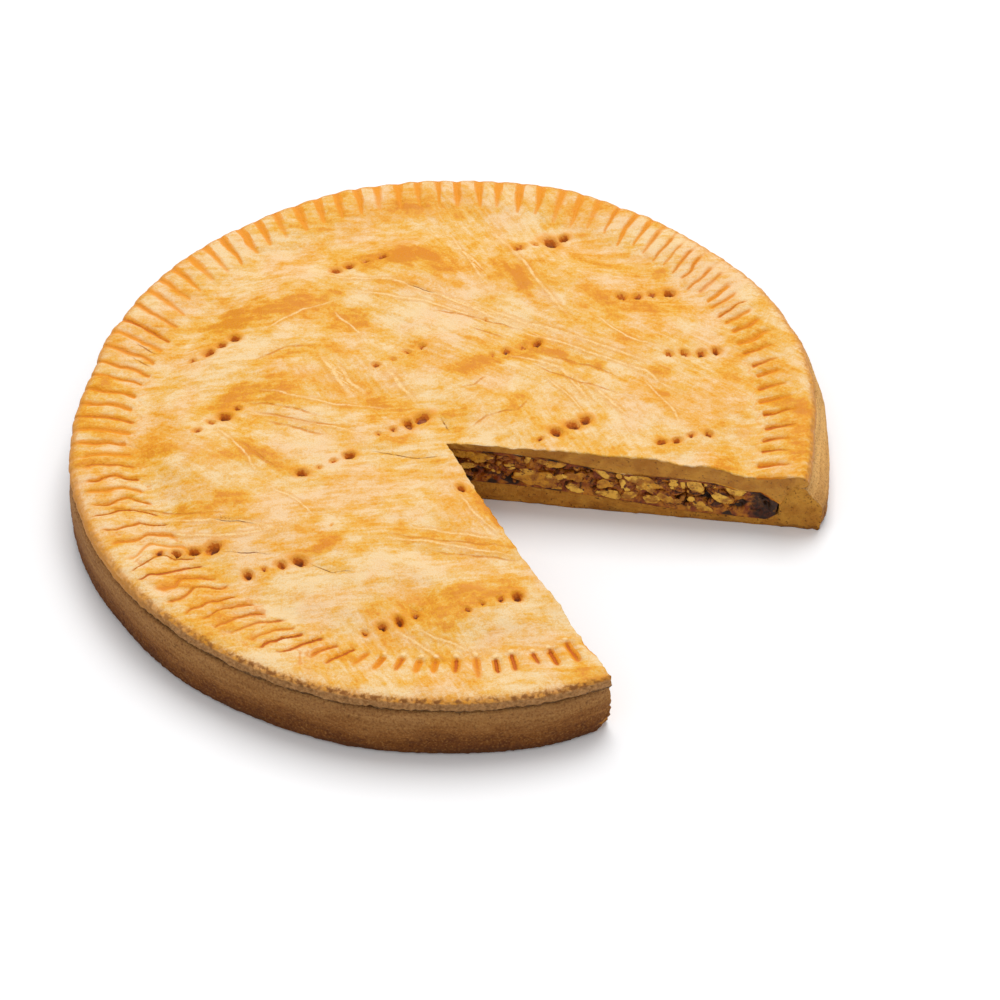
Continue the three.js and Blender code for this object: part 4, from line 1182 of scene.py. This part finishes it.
# %% Pieces to the frame
for piece, node, slot in [
    (lid, "lid_crust", "glazed_lid"),
    (shell, "shell_crust", "baked_shell"),
    (caramel, "nut_filling", "walnut_caramel"),
    (walnuts, "nut_filling", "walnut_caramel"),
    (walnut_bits, "nut_filling", "walnut_caramel"),
]:
    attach(piece, "root")
    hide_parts(node)

# %% [markdown]
# ## Floor, light and camera
# The tart stands on a plain white table under one wide soft light, a little behind it, with pale light
# from all round. The front wall and the cut face lie in soft shade. The camera looks down at 44 degrees.

# %% Floor
FLOOR_HALF = 3.0
corners = [(i * FLOOR_HALF, j * FLOOR_HALF, 0) for i, j in ((-1, -1), (1, -1), (1, 1), (-1, 1))]
floor_mesh = bpy.data.meshes.new("floor")
floor_mesh.from_pydata(corners, [], [(0, 1, 2, 3)])
floor = bpy.data.objects.new("floor", floor_mesh)
bpy.context.scene.collection.objects.link(floor)
floor_finish = Finish("white_table")
floor_finish.colour = [242, 242, 243]
floor_finish.lay_on([floor], 0.9, 0.1)

# %% Light
LAMP_PLACE, LAMP_SIZE, LAMP_POWER = (0.3, 1.4, 2.9), 2.0, 71  # metres and watts
LOOKS_AT = (0, 0, 0.01)
ROOM_LIGHT = 0.7
world = bpy.data.worlds.new("soft_room")
bpy.context.scene.world = world
world.use_nodes = True
world.node_tree.nodes["Background"].inputs["Color"].default_value = (1, 1, 1, 1)
world.node_tree.nodes["Background"].inputs["Strength"].default_value = ROOM_LIGHT
lamp_data = bpy.data.lights.new("overhead", "AREA")
lamp_data.shape, lamp_data.size, lamp_data.energy = "SQUARE", LAMP_SIZE, LAMP_POWER
lamp = bpy.data.objects.new("overhead", lamp_data)
lamp.location = LAMP_PLACE
lamp.rotation_euler = (Vector(LOOKS_AT) - Vector(LAMP_PLACE)).to_track_quat("-Z", "Y").to_euler()
bpy.context.scene.collection.objects.link(lamp)

# %% Camera
CAMERA_HEIGHT_DEG, CAMERA_AWAY, CAMERA_LENS = 44.4, 1.2, 137.05  # degrees, metres, millimetres
CAMERA_RIGHT, CAMERA_DOWN = 0.01576, 0.00842  # metres aside of the line to the middle
tilt = np.radians(CAMERA_HEIGHT_DEG)
back = np.array([0, -np.cos(tilt), np.sin(tilt)])
up_axis = np.array([0, np.sin(tilt), np.cos(tilt)])
camera_data = bpy.data.cameras.new("camera")
camera_data.lens, camera_data.sensor_width = CAMERA_LENS, 36
camera_data.clip_start, camera_data.clip_end = 0.05, 20
camera = bpy.data.objects.new("camera", camera_data)
camera.location = Vector(back * CAMERA_AWAY + np.array([CAMERA_RIGHT, 0, 0]) - up_axis * CAMERA_DOWN)
camera.rotation_euler = Euler((np.pi / 2 - tilt, 0, 0))
bpy.context.scene.collection.objects.link(camera)
bpy.context.scene.camera = camera
bpy.context.scene.view_settings.view_transform = "Standard"
bpy.context.scene.view_settings.look = "None"
print("camera at", [round(c, 3) for c in camera.location])
